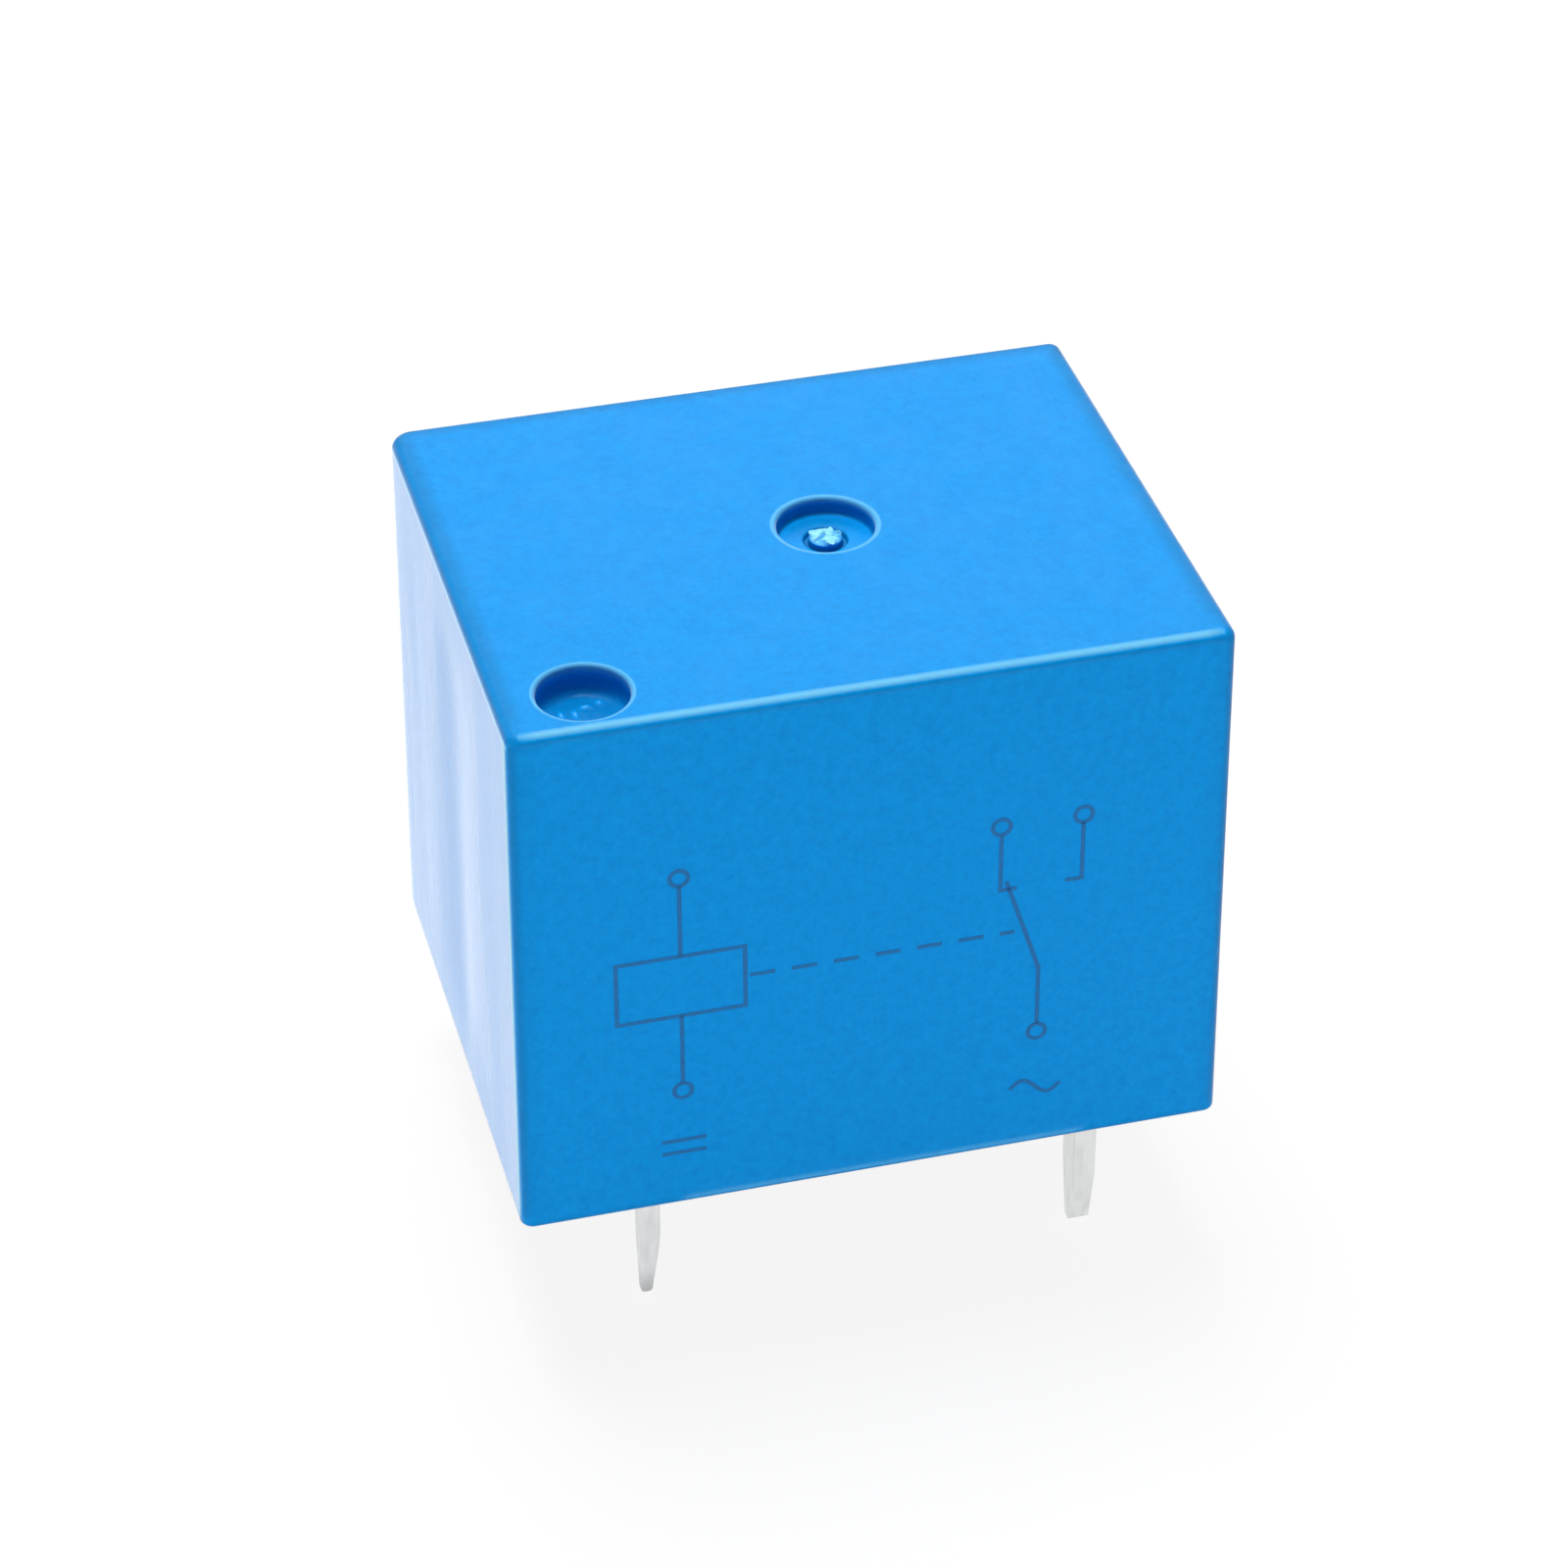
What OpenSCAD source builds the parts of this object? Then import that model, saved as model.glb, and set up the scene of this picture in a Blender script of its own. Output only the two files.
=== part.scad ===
// Sealed PCB power relay in a small cube-like case, with one changeover contact.
// +X runs from the common pin towards the contact pins, +Y to the rear and +Z up.
// The origin is the middle of the case, on the plane where it seats on the board.
// The armature is drawn released, as it rests with no current in the coil.

/* [Pins] */
// Coil pins to contact pins, along the case
coil_to_contact = 12.2; // [11.8:0.1:12.8]
// Common pin to coil pins, along the case
common_to_coil = 2; // [1.8:0.05:2.2]
// Distance between the front and rear pin rows
row_pitch = 12; // [11.6:0.1:12.8]
// How far the pins reach below the seat
pin_drop = 4.4; // [3:0.1:6]
// Height of the tapered tip of a pin
tip_h = 1.8; // [0.4:0.1:2.4]
// Width left at the very end of a pin
tip_w = 0.3; // [0.15:0.05:0.4]
// Side of the square coil pins
coil_pin_w = 0.6; // [0.4:0.05:0.7]
// Width of the common and contact pins
blade_w = 1; // [0.7:0.05:1.2]
// Sheet thickness of the contact terminals
contact_sheet = 0.6; // [0.4:0.05:0.7]
// Sheet thickness of the common terminal
common_sheet = 0.5; // [0.4:0.05:0.6]

/* [Case] */
// Common pin to the end face next to it
common_edge = 1.75; // [1.7:0.05:2.2]
// Contact pins to the other end face
contact_edge = 3.25; // [3.1:0.05:3.8]
// Pin rows to the long faces
row_edge = 1.75; // [1.6:0.05:2.2]
// Thickness of the side walls
wall = 0.7; // [0.5:0.05:0.8]
// Thickness of the top
top_wall = 0.8; // [0.6:0.05:1.2]
// How far each side leans in from the rim to the round top edge
draft = 0.15; // [0.05:0.01:0.2]
// Radius of the upright edges
corner_r = 0.6; // [0.55:0.05:1]
// Radius of the edges round the top
top_edge_r = 0.3; // [0.1:0.05:0.35]
// Bevel round the bottom rim
rim_bevel = 0.15; // [0.05:0.05:0.3]

/* [Recesses in the top] */
// Radius of the recess round the moulding gate
gate_r = 1.3; // [1:0.05:1.8]
// Depth of the gate recess
gate_depth = 0.48; // [0.2:0.02:0.6]
// Gate recess, from the middle of the case
gate_x = 0.7; // [-3:0.1:3]
// Radius of the stub where the gate broke off
stub_r = 0.45; // [0.2:0.05:0.7]
// Height of the gate stub
stub_h = 0.22; // [0.1:0.02:0.4]
// Radius of the vent well
vent_r = 1.2; // [0.8:0.05:1.3]
// Depth of the vent well
vent_depth = 0.9; // [0.6:0.05:1.2]
// Thickness left round and under the vent well
vent_wall = 0.4; // [0.3:0.05:0.6]
// Vent well to the end face
vent_from_end = 2.45; // [2.2:0.05:3.5]
// Vent well to the front face
vent_from_front = 1.82; // [1.75:0.01:2.6]
// Bevel round the mouths of both recesses
mouth_bevel = 0.1; // [0.05:0.01:0.14]

/* [Base] */
// Radius of the upright edges of the base and its pad
base_corner_r = 0.5; // [0.3:0.05:0.8]
// Height of the sealing moat under the base
moat_h = 0.8; // [0.6:0.05:1.2]
// How far the resin stops short of the seat
seal_recess = 0.35; // [0.2:0.05:0.5]
// Width of the resin moat beyond the pin rows, towards the middle
moat_w = 1.5; // [1:0.1:2]
// Thickness of the base floor
floor_t = 1.2; // [0.8:0.05:1.6]
// Thickness of the barrier between coil and contacts
barrier_t = 0.5; // [0.4:0.05:0.6]
// How far the barrier stops below the armature
barrier_room = 0.7; // [0.4:0.05:1.5]
// Width of the rails that hold the yoke
rail_w = 0.7; // [0.5:0.05:0.9]

/* [Coil] */
// Height of the winding
winding_h = 5.8; // [4.5:0.1:7]
// Thickness of the bobbin flanges
flange_t = 0.65; // [0.5:0.05:0.9]
// How far the flanges stand out past the winding
flange_lip = 0.45; // [0.3:0.05:0.8]
// Radius of the flanges' corners
flange_r = 0.6; // [0.3:0.05:1]
// Wall of the bobbin tube
tube_t = 0.6; // [0.4:0.05:0.8]
// Radius of the iron core
core_r = 2.4; // [2:0.1:2.8]
// Radius of the core's riveted tail
tail_r = 1.6; // [1.2:0.1:1.8]
// Radius of the pole head
pole_r = 3.9; // [3.4:0.1:4.4]
// Thickness of the pole head
pole_h = 0.6; // [0.4:0.05:1]
// Height of the coil pins above the lower flange
post_h = 1.6; // [1.2:0.1:2.2]
// Radius of the lead wires
lead_r = 0.1; // [0.05:0.01:0.15]
// Height of the lead wound round a coil pin
wrap_h = 0.5; // [0.3:0.05:0.6]
// Height of the solder on top of a coil pin
solder_h = 0.5; // [0.3:0.05:0.6]

/* [Yoke and armature] */
// Thickness of the yoke
yoke_t = 1.2; // [1:0.05:1.3]
// Width of the yoke
yoke_w = 9; // [8:0.1:9.4]
// Yoke foot, past the middle of the core
yoke_foot = 3.4; // [2.6:0.1:4]
// Thickness of the armature
armature_t = 1.1; // [0.9:0.05:1.4]
// Heel of the armature, in from the outer face of the yoke
heel_inset = 0.25; // [0.1:0.05:0.5]
// Width of the armature at its hinge
armature_w = 8.4; // [7.4:0.1:9]
// Width of the armature at its free end
armature_nose_w = 6.6; // [5.6:0.1:7.2]
// Armature's free end, past the pole head
armature_past = 1.2; // [0.6:0.1:1.5]
// Swing of the armature, in degrees
swing = 3; // [2:0.1:3.6]
// Air left at the pole when the armature is pulled in
residual_gap = 0.03; // [0.02:0.01:0.06]

/* [Contacts] */
// Thickness of the contact spring
spring_t = 0.15; // [0.1:0.01:0.2]
// Width of the spring over the armature
spring_w = 6; // [5.6:0.1:7]
// Width of the spring's tongue
tongue_w = 4; // [3:0.1:4.4]
// Width of the window between the spring's two legs
window_w = 3; // [2.4:0.1:3.4]
// Radius of the spring's loop over the hinge
loop_r = 1.1; // [0.9:0.05:1.3]
// Slant of the spring where it returns to the yoke, in degrees
loop_slant = 20; // [16:1:24]
// Radius of the spring's bend against the yoke
return_r = 1; // [0.6:0.1:1.4]
// Contacts' middle, past the contact pins
contact_reach = 0.9; // [0.85:0.05:1]
// Radius of the contact heads
contact_r = 1.1; // [0.8:0.05:1.15]
// Bevel round the contact heads
contact_bevel = 0.2; // [0.1:0.05:0.25]
// Radius of the contact shanks
shank_r = 0.6; // [0.4:0.05:0.7]
// Moving contact, above the spring
moving_up = 0.45; // [0.3:0.05:0.6]
// Moving contact, below the spring
moving_down = 0.55; // [0.4:0.05:0.7]
// Height of the fixed contacts
fixed_h = 0.4; // [0.3:0.05:0.6]
// Thickness of the tabs that carry the fixed contacts
tab_t = 0.45; // [0.35:0.05:0.6]
// Width of the tabs
tab_w = 3.2; // [2.8:0.1:3.6]
// Tab past the middle of the contact
tab_past = 1.15; // [1:0.05:1.2]
// Air between contacts that close
touch_gap = 0.05; // [0.04:0.01:0.08]
// Step that the upper tab's height is rounded up to
height_step = 0.01; // [0.01:0.01:0.05]
// Room between the upper tab and the top
head_room = 0.35; // [0.2:0.05:0.8]

/* [Rivets] */
// Radius of the spring rivets
rivet_r = 0.5; // [0.35:0.05:0.6]
// Radius of the rivet heads
rivet_head_r = 0.85; // [0.75:0.05:1]
// Height of the rivet heads
rivet_head_h = 0.35; // [0.2:0.05:0.4]
// Bevel round the rivet heads
rivet_bevel = 0.15; // [0.05:0.05:0.2]
// Distance between the two rivets of a pair
rivet_pitch = 2.8; // [2.6:0.1:3.2]

/* [Clearances] */
// Between pieces that slide over each other when assembled
slip = 0.03; // [0.02:0.005:0.05]
// Between neighbouring mouldings and metal parts
room = 0.1; // [0.05:0.01:0.12]
// Between the sealing resin and the walls it sticks to
bond = 0.01; // [0.005:0.005:0.02]

/* [Hidden] */
$fn = 64;
// How far cutters reach past what they cut
over = 0.5;
// Straight steps round the contact spring's two bends
loop_steps = 20;
return_steps = 6;

// Case, from the pin pattern and its margins
case_l = common_edge + common_to_coil + coil_to_contact + contact_edge;
case_w = row_pitch + 2 * row_edge;
inner_l = case_l - 2 * wall;
inner_w = case_w - 2 * wall;
base_l = inner_l - 2 * room;
base_w = inner_w - 2 * room;
pad_x0 = common_edge + common_to_coil + moat_w - case_l / 2;
pad_x1 = case_l / 2 - contact_edge - moat_w;
pad_w = row_pitch - 2 * moat_w;

// Pin places
common_x = common_edge - case_l / 2;
coil_x = common_x + common_to_coil;
contact_x = coil_x + coil_to_contact;
row_y = row_pitch / 2;

// Magnet, from the common terminal inwards
spring_leg_x = common_x + common_sheet / 2 + spring_t / 2;
yoke_x = spring_leg_x + spring_t / 2;
bobbin_x0 = yoke_x + yoke_t + room;
barrier_x1 = contact_x - contact_sheet / 2 - room;
bobbin_x1 = barrier_x1 - barrier_t - room;
bobbin_l = bobbin_x1 - bobbin_x0;
core_x = (bobbin_x0 + bobbin_x1) / 2;
winding_r = bobbin_l / 2 - flange_lip;
tube_r = core_r + slip + tube_t;

// Heights, from the seat upwards
floor_z = moat_h + floor_t;
flange_z = floor_z + yoke_t;
winding_z = flange_z + flange_t;
pole_z = winding_z + winding_h + flange_t + pole_h;
hinge_z = pole_z + residual_gap;
hinge_x = yoke_x;
spring_z = hinge_z + armature_t;
barrier_z = pole_z - barrier_room;
post_z = winding_z + post_h;
wrap_z = post_z - solder_h - slip - wrap_h;
wrap_r = coil_pin_w / sqrt(2) + 2 * lead_r;

// Contact stack: pulled in for the lower contact, released for the upper one, in whole steps
meet_x = contact_x + contact_reach;
open_tab_z = spring_z - moving_down - touch_gap - fixed_h - tab_t;
stack_h = armature_t + spring_t + moving_up;
released_z = hinge_z + stack_h * cos(swing) + (meet_x + contact_r - hinge_x) * sin(swing);
closed_tab_z = height_step * ceil((released_z + touch_gap + fixed_h) / height_step);
case_h = closed_tab_z + tab_t + head_room + top_wall;
shoulder_z = case_h - top_edge_r;

// Lean of the walls, and how far the resin stays clear of them
lean = draft / shoulder_z;
seal_gap = bond + lean * moat_h;

// Recesses and rivets
vent_x = vent_from_end - case_l / 2;
vent_y = vent_from_front - case_w / 2;
rivet_y = rivet_pitch / 2;
yoke_rivet_z = flange_z + flange_t + rivet_head_r + room;
yoke_stack = common_sheet + spring_t + yoke_t;
common_plate_w = rivet_pitch + 2 * rivet_head_r;
armature_rivet_x = core_x;

// Colours, as the photograph shows the outside
case_blue = "#1f8fe0";
base_black = "#23262a";
resin = "#2d2a26";
tinned = "#c9ccd0";
copper = "#b5622f";
brass = "#c8a050";
iron = "#8d9196";
silver = "#dadcdf";
bobbin_ivory = "#e6e0cf";

// Flat shapes

// Rectangle with round corners, about the origin
module round_rect(l, w, r) {
    square([l - 2 * r, w], center = true);
    square([l, w - 2 * r], center = true);
    for (x = [-1, 1], y = [-1, 1])
        translate([x * (l / 2 - r), y * (w / 2 - r)]) circle(r);
}

// Half of the case's outer section: it leans in, with a bevelled rim and a round top edge
module half_section(reach) {
    arc_x = reach - draft - top_edge_r;
    polygon([
        [0, 0], [reach - rim_bevel, 0], [reach, rim_bevel], [reach - draft, shoulder_z],
        [arc_x, shoulder_z], [arc_x, case_h], [0, case_h]
    ]);
    translate([arc_x, shoulder_z]) intersection() {
        circle(top_edge_r);
        square(2 * top_edge_r);
    }
}

// The case's inner section, which leans in like the outside and opens downwards
module inner_section(l) {
    top = case_h - top_wall;
    half_top = l / 2 - lean * top;
    polygon([
        [-l / 2, -over], [l / 2, -over], [l / 2, 0],
        [half_top, top], [-half_top, top], [-l / 2, 0]
    ]);
}

// Pin outline hanging from the origin, with a tapered tip
module pin_outline(w, drop) {
    polygon([
        [-w / 2, 0], [-w / 2, tip_h - drop], [-tip_w / 2, -drop],
        [tip_w / 2, -drop], [w / 2, tip_h - drop], [w / 2, 0]
    ]);
}

// Shared solids

// Outside of the case: leaning sides, round upright edges and a round top edge
module case_block() {
    corner_x = case_l / 2 - corner_r;
    corner_y = case_w / 2 - corner_r;
    for (turn = [0, 180]) rotate(turn) {
        translate([0, corner_y, 0]) rotate([90, 0, 0])
            linear_extrude(2 * corner_y) half_section(case_l / 2);
        rotate(90) translate([0, corner_x, 0]) rotate([90, 0, 0])
            linear_extrude(2 * corner_x) half_section(case_w / 2);
        translate([corner_x, corner_y, 0]) rotate_extrude(angle = 90) half_section(corner_r);
        translate([-corner_x, corner_y, 0]) rotate(90) rotate_extrude(angle = 90) half_section(corner_r);
    }
}

// Space inside the case
module case_hollow() {
    intersection() {
        rotate([90, 0, 0]) linear_extrude(case_w, center = true) inner_section(inner_l);
        rotate([90, 0, 90]) linear_extrude(case_l, center = true) inner_section(inner_w);
    }
}

// Upright plate across the case: an outline in Y and Z, centred on x
module cross_plate(x, t) {
    translate([x - t / 2, 0, 0]) rotate([90, 0, 90]) linear_extrude(t) children();
}

// Square bar with a tip that tapers on all four sides
module square_pin(w, top, drop) {
    intersection() {
        translate([0, w / 2, 0]) rotate([90, 0, 0]) linear_extrude(w) pin_outline(w, drop);
        cross_plate(0, w) pin_outline(w, drop);
    }
    translate([-w / 2, -w / 2, 0]) cube([w, w, top]);
}

// Rivet standing on the origin: a head above, a shank of a given length below
module rivet(r, length, head_r, head_h, bevel) {
    rotate_extrude() polygon([
        [0, -length], [r, -length], [r, 0], [head_r, 0],
        [head_r, head_h - bevel], [head_r - bevel, head_h], [0, head_h]
    ]);
}

// Wire between two points at the same height
module level_wire(from, to, r) {
    run = to - from;
    translate(from) rotate([0, 90, atan2(run[1], run[0])]) cylinder(r = r, h = norm(run));
}

// Cutter for a round recess in the top, with a bevelled mouth
module recess(r, depth) {
    rotate_extrude() polygon([
        [0, -depth], [r, -depth], [r, -mouth_bevel],
        [r + mouth_bevel, 0], [r + mouth_bevel, over], [0, over]
    ]);
}

// The five pins, grown by a gap, as the holes that they pass through
module pin_holes(gap) {
    for (y = [-row_y, row_y]) {
        translate([coil_x, y]) square(coil_pin_w + 2 * gap, center = true);
        translate([contact_x, y]) square([contact_sheet + 2 * gap, blade_w + 2 * gap], center = true);
    }
    translate([common_x, 0]) square([common_sheet + 2 * gap, blade_w + 2 * gap], center = true);
}

// Turns what is drawn pulled in, about the hinge, to where the armature rests released
module released() {
    translate([hinge_x, 0, hinge_z]) rotate([0, -swing, 0])
        translate([-hinge_x, 0, -hinge_z]) children();
}

// Case

module cover() {
    color(case_blue) {
        difference() {
            case_block();
            difference() {
                case_hollow();
                vent_boss();
            }
            translate([gate_x, 0, case_h]) recess(gate_r, gate_depth);
            translate([vent_x, vent_y, case_h]) recess(vent_r, vent_depth);
        }
        translate([gate_x, 0, case_h - gate_depth]) cylinder(r = stub_r, h = stub_h);
    }
}

// Boss inside the cover that closes the vent well
module vent_boss() {
    boss_z = case_h - vent_depth - vent_wall;
    translate([vent_x, vent_y, boss_z]) cylinder(r = vent_r + vent_wall, h = vent_depth + vent_wall);
}

module base() {
    color(base_black) difference() {
        union() {
            translate([0, 0, moat_h]) linear_extrude(floor_t) round_rect(base_l, base_w, base_corner_r);
            linear_extrude(moat_h) seat_pad(0);
            translate([0, 0, floor_z]) barrier();
            translate([0, 0, floor_z]) yoke_rails();
        }
        translate([0, 0, -over]) linear_extrude(floor_z + 2 * over) pin_holes(slip);
    }
}

// Outline of the raised pad that meets the board, grown by a gap
module seat_pad(gap) {
    translate([(pad_x0 + pad_x1) / 2, 0])
        round_rect(pad_x1 - pad_x0 + 2 * gap, pad_w + 2 * gap, base_corner_r + gap);
}

// Wall that keeps the coil apart from the contacts
module barrier() {
    translate([barrier_x1 - barrier_t, room - base_w / 2, 0])
        cube([barrier_t, base_w - 2 * room, barrier_z - floor_z]);
}

// Rails along both sides of the yoke's foot
module yoke_rails() {
    for (y = [-1, 1])
        translate([bobbin_x0, y * (yoke_w / 2 + room + rail_w / 2) - rail_w / 2, 0])
            cube([bobbin_l, rail_w, yoke_t]);
}

module base_seal() {
    color(resin) translate([0, 0, seal_recess]) linear_extrude(moat_h - seal_recess) difference() {
        round_rect(inner_l - 2 * seal_gap, inner_w - 2 * seal_gap, base_corner_r);
        seat_pad(bond);
        pin_holes(bond);
    }
}

// Coil

module bobbin() {
    flange_w = row_pitch + coil_pin_w + 2 * flange_lip;
    top_w = 2 * (winding_r + flange_lip);
    color(bobbin_ivory) difference() {
        union() {
            translate([core_x, 0, flange_z])
                linear_extrude(flange_t) round_rect(bobbin_l, flange_w, flange_r);
            translate([core_x, 0, winding_z]) cylinder(r = tube_r, h = winding_h);
            translate([core_x, 0, winding_z + winding_h])
                linear_extrude(flange_t) round_rect(bobbin_l, top_w, flange_r);
        }
        translate([core_x, 0, flange_z - over]) cylinder(r = core_r + slip, h = pole_z);
        translate([0, 0, flange_z - over]) linear_extrude(flange_t + 2 * over) pin_holes(slip);
    }
}

module coil_winding() {
    color(copper) {
        translate([core_x, 0, winding_z + slip]) difference() {
            cylinder(r = winding_r, h = winding_h - 2 * slip);
            translate([0, 0, -over]) cylinder(r = tube_r + slip, h = winding_h + 2 * over);
        }
        for (y = [-row_y, row_y]) difference() {
            union() {
                lead(y, wrap_z + wrap_h / 2);
                translate([coil_x, y, wrap_z]) cylinder(r = wrap_r, h = wrap_h);
            }
            translate([coil_x, y, wrap_z - over])
                linear_extrude(wrap_h + 2 * over) square(coil_pin_w + 2 * slip, center = true);
        }
    }
}

// Lead wire from the outside of the winding to one coil pin
module lead(y, z) {
    to_pin = [coil_x - core_x, y];
    start = [core_x, 0] + to_pin * (winding_r - lead_r) / norm(to_pin);
    level_wire([start[0], start[1], z], [coil_x, y, z], lead_r);
}

module coil_solder() {
    color(tinned) for (y = [-row_y, row_y]) translate([coil_x, y, post_z - solder_h]) difference() {
        cylinder(r1 = wrap_r, r2 = coil_pin_w / sqrt(2) + lead_r, h = solder_h);
        translate([0, 0, -over])
            linear_extrude(solder_h + 2 * over) square(coil_pin_w + 2 * bond, center = true);
    }
}

module coil_terminal(y) {
    color(tinned) translate([coil_x, y, 0]) square_pin(coil_pin_w, post_z, pin_drop);
}

module core() {
    color(iron) translate([core_x, 0, 0]) rotate_extrude() polygon([
        [0, floor_z], [tail_r, floor_z], [tail_r, flange_z], [core_r, flange_z],
        [core_r, pole_z - pole_h], [pole_r, pole_z - pole_h], [pole_r, pole_z], [0, pole_z]
    ]);
}

// Frame and armature

module yoke() {
    foot_x = core_x + yoke_foot;
    color(iron) difference() {
        translate([0, yoke_w / 2, 0]) rotate([90, 0, 0]) linear_extrude(yoke_w) {
            translate([yoke_x, floor_z + yoke_t / 2]) square([yoke_t, pole_z - floor_z - yoke_t / 2]);
            translate([yoke_x + yoke_t / 2, floor_z]) square([foot_x - yoke_x - yoke_t / 2, yoke_t]);
            translate([yoke_x + yoke_t / 2, floor_z + yoke_t / 2]) circle(yoke_t / 2);
        }
        translate([core_x, 0, floor_z - over]) cylinder(r = tail_r + slip, h = yoke_t + 2 * over);
        yoke_rivet_holes();
    }
}

// Places of the rivets through the yoke, with +Z out of the end of the case
module yoke_rivet_places() {
    for (y = [-rivet_y, rivet_y])
        translate([common_x - common_sheet / 2, y, yoke_rivet_z]) rotate([0, -90, 0]) children();
}

// Holes for those rivets, through all that they hold
module yoke_rivet_holes() {
    yoke_rivet_places() cylinder(r = rivet_r + slip, h = 2 * (yoke_stack + over), center = true);
}

module yoke_rivets() {
    color(silver) yoke_rivet_places() rivet(rivet_r, yoke_stack, rivet_head_r, rivet_head_h, rivet_bevel);
}

module common_terminal() {
    top = yoke_rivet_z + rivet_head_r + room;
    color(tinned) difference() {
        cross_plate(common_x, common_sheet) {
            translate([0, floor_z]) pin_outline(blade_w, floor_z + pin_drop);
            translate([-common_plate_w / 2, floor_z]) square([common_plate_w, top - floor_z]);
        }
        yoke_rivet_holes();
    }
}

module armature() {
    heel_x = hinge_x + heel_inset;
    nose_x = core_x + pole_r + armature_past;
    color(iron) released() difference() {
        translate([0, 0, hinge_z]) linear_extrude(armature_t) polygon([
            [heel_x, -armature_w / 2], [core_x, -armature_w / 2], [nose_x, -armature_nose_w / 2],
            [nose_x, armature_nose_w / 2], [core_x, armature_w / 2], [heel_x, armature_w / 2]
        ]);
        armature_rivet_holes();
    }
}

// Places of the rivets through the armature, on top of the spring, pulled in
module armature_rivet_places() {
    for (y = [-rivet_y, rivet_y])
        translate([armature_rivet_x, y, spring_z + spring_t]) children();
}

// Holes for those rivets, through the spring and the armature
module armature_rivet_holes() {
    depth = spring_t + armature_t + over;
    armature_rivet_places() cylinder(r = rivet_r + slip, h = 2 * depth, center = true);
}

module armature_rivets() {
    color(silver) released() armature_rivet_places()
        rivet(rivet_r, spring_t + armature_t, rivet_head_r, rivet_head_h, rivet_bevel);
}

// Contacts

// Points of an arc about a centre, each with the heading of the path there
function arc(centre, r, from, to, steps) = [
    for (i = [0:steps])
        let (a = from + (to - from) * i / steps, turn = sign(to - from))
        [centre[0] + r * cos(a), centre[1] + r * sin(a), a + 90 * turn]
];

// One side of a strip: its middle line moved sideways by a distance
function side(path, d) = [for (p = path) [p[0] - d * sin(p[2]), p[1] + d * cos(p[2])]];

function reversed(list) = [for (i = [len(list) - 1:-1:0]) list[i]];

// Middle line of the contact spring in X and Z, from its tip down to its foot on the yoke
function spring_path() =
    let (
        lift = armature_t + spring_t / 2,
        along = [cos(swing), sin(swing)],
        across = [-sin(swing), cos(swing)],
        hinge = [hinge_x, hinge_z],
        tip = hinge + along * (meet_x + tab_past - hinge_x) + across * lift,
        crown = hinge + along * heel_inset + across * lift,
        centre = crown - across * loop_r,
        leave = centre - loop_r * [cos(loop_slant), sin(loop_slant)],
        sideways = spring_leg_x - leave[0] - return_r * (1 - cos(loop_slant)),
        slant = [sin(loop_slant), -cos(loop_slant)] * sideways / sin(loop_slant),
        bend = leave + slant - return_r * [cos(loop_slant), sin(loop_slant)],
        foot_z = yoke_rivet_z - rivet_head_r - room
    )
    concat(
        [[tip[0], tip[1], 180 + swing]],
        arc(centre, loop_r, 90 + swing, 180 + loop_slant, loop_steps),
        arc(bend, return_r, loop_slant, 0, return_steps),
        [[spring_leg_x, foot_z, 270]]
    );

module contact_spring() {
    path = spring_path();
    color(copper) difference() {
        translate([0, spring_w / 2, 0]) rotate([90, 0, 0]) linear_extrude(spring_w)
            polygon(concat(side(path, spring_t / 2), reversed(side(path, -spring_t / 2))));
        tongue_sides();
        spring_window();
        released() {
            armature_rivet_holes();
            translate([meet_x, 0, spring_z]) cylinder(r = shank_r + slip, h = 2 * over, center = true);
        }
        yoke_rivet_holes();
    }
}

// What is cut off both sides of the spring to leave its tongue
module tongue_sides() {
    start_x = armature_rivet_x + rivet_head_r + room;
    for (flip = [0, 1]) mirror([0, flip, 0])
        translate([0, 0, pole_z]) linear_extrude(case_h - pole_z) polygon([
            [start_x, spring_w / 2], [core_x + pole_r, tongue_w / 2],
            [case_l / 2, tongue_w / 2], [case_l / 2, spring_w], [start_x, spring_w]
        ]);
}

// Window through the loop, which leaves the spring two slim legs there
module spring_window() {
    low_z = yoke_rivet_z + rivet_head_r + 2 * room;
    translate([-case_l / 2, -window_w / 2, low_z])
        cube([hinge_x + yoke_t + case_l / 2, window_w, case_h - low_z]);
}

module moving_contact() {
    color(silver) released() translate([meet_x, 0, spring_z]) {
        translate([0, 0, spring_t]) rivet(shank_r, spring_t, contact_r, moving_up, contact_bevel);
        mirror([0, 0, 1]) rivet(shank_r, 0, contact_r, moving_down, contact_bevel);
    }
}

// Fixed contact on a tab, with its face up
module fixed_contact() {
    rivet(shank_r, tab_t, contact_r, fixed_h, contact_bevel);
}

// Outline of a contact terminal: pin, shoulders on the base, and a post up to its tab
module contact_plate(y, y0, y1, top) {
    translate([y, floor_z]) pin_outline(blade_w, floor_z + pin_drop);
    translate([y0, floor_z]) square([y1 - y0, top - floor_z]);
}

// Tab from a terminal's post out over the contact, with a hole for the contact's shank
module contact_tab(y0, y1, z) {
    tab_x0 = contact_x - contact_sheet / 2;
    tab_x1 = meet_x + tab_past;
    difference() {
        translate([tab_x0, y0, z]) cube([tab_x1 - tab_x0, y1 - y0, tab_t]);
        translate([meet_x, 0, z - over]) cylinder(r = shank_r + slip, h = tab_t + 2 * over);
    }
}

module normally_open_terminal() {
    outer = -row_y - blade_w / 2;
    color(brass) {
        cross_plate(contact_x, contact_sheet) contact_plate(-row_y, outer, tab_w / 2, open_tab_z + tab_t);
        contact_tab(-tab_w / 2, tab_w / 2, open_tab_z);
    }
}

module normally_open_contact() {
    color(silver) translate([meet_x, 0, open_tab_z + tab_t]) fixed_contact();
}

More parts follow.
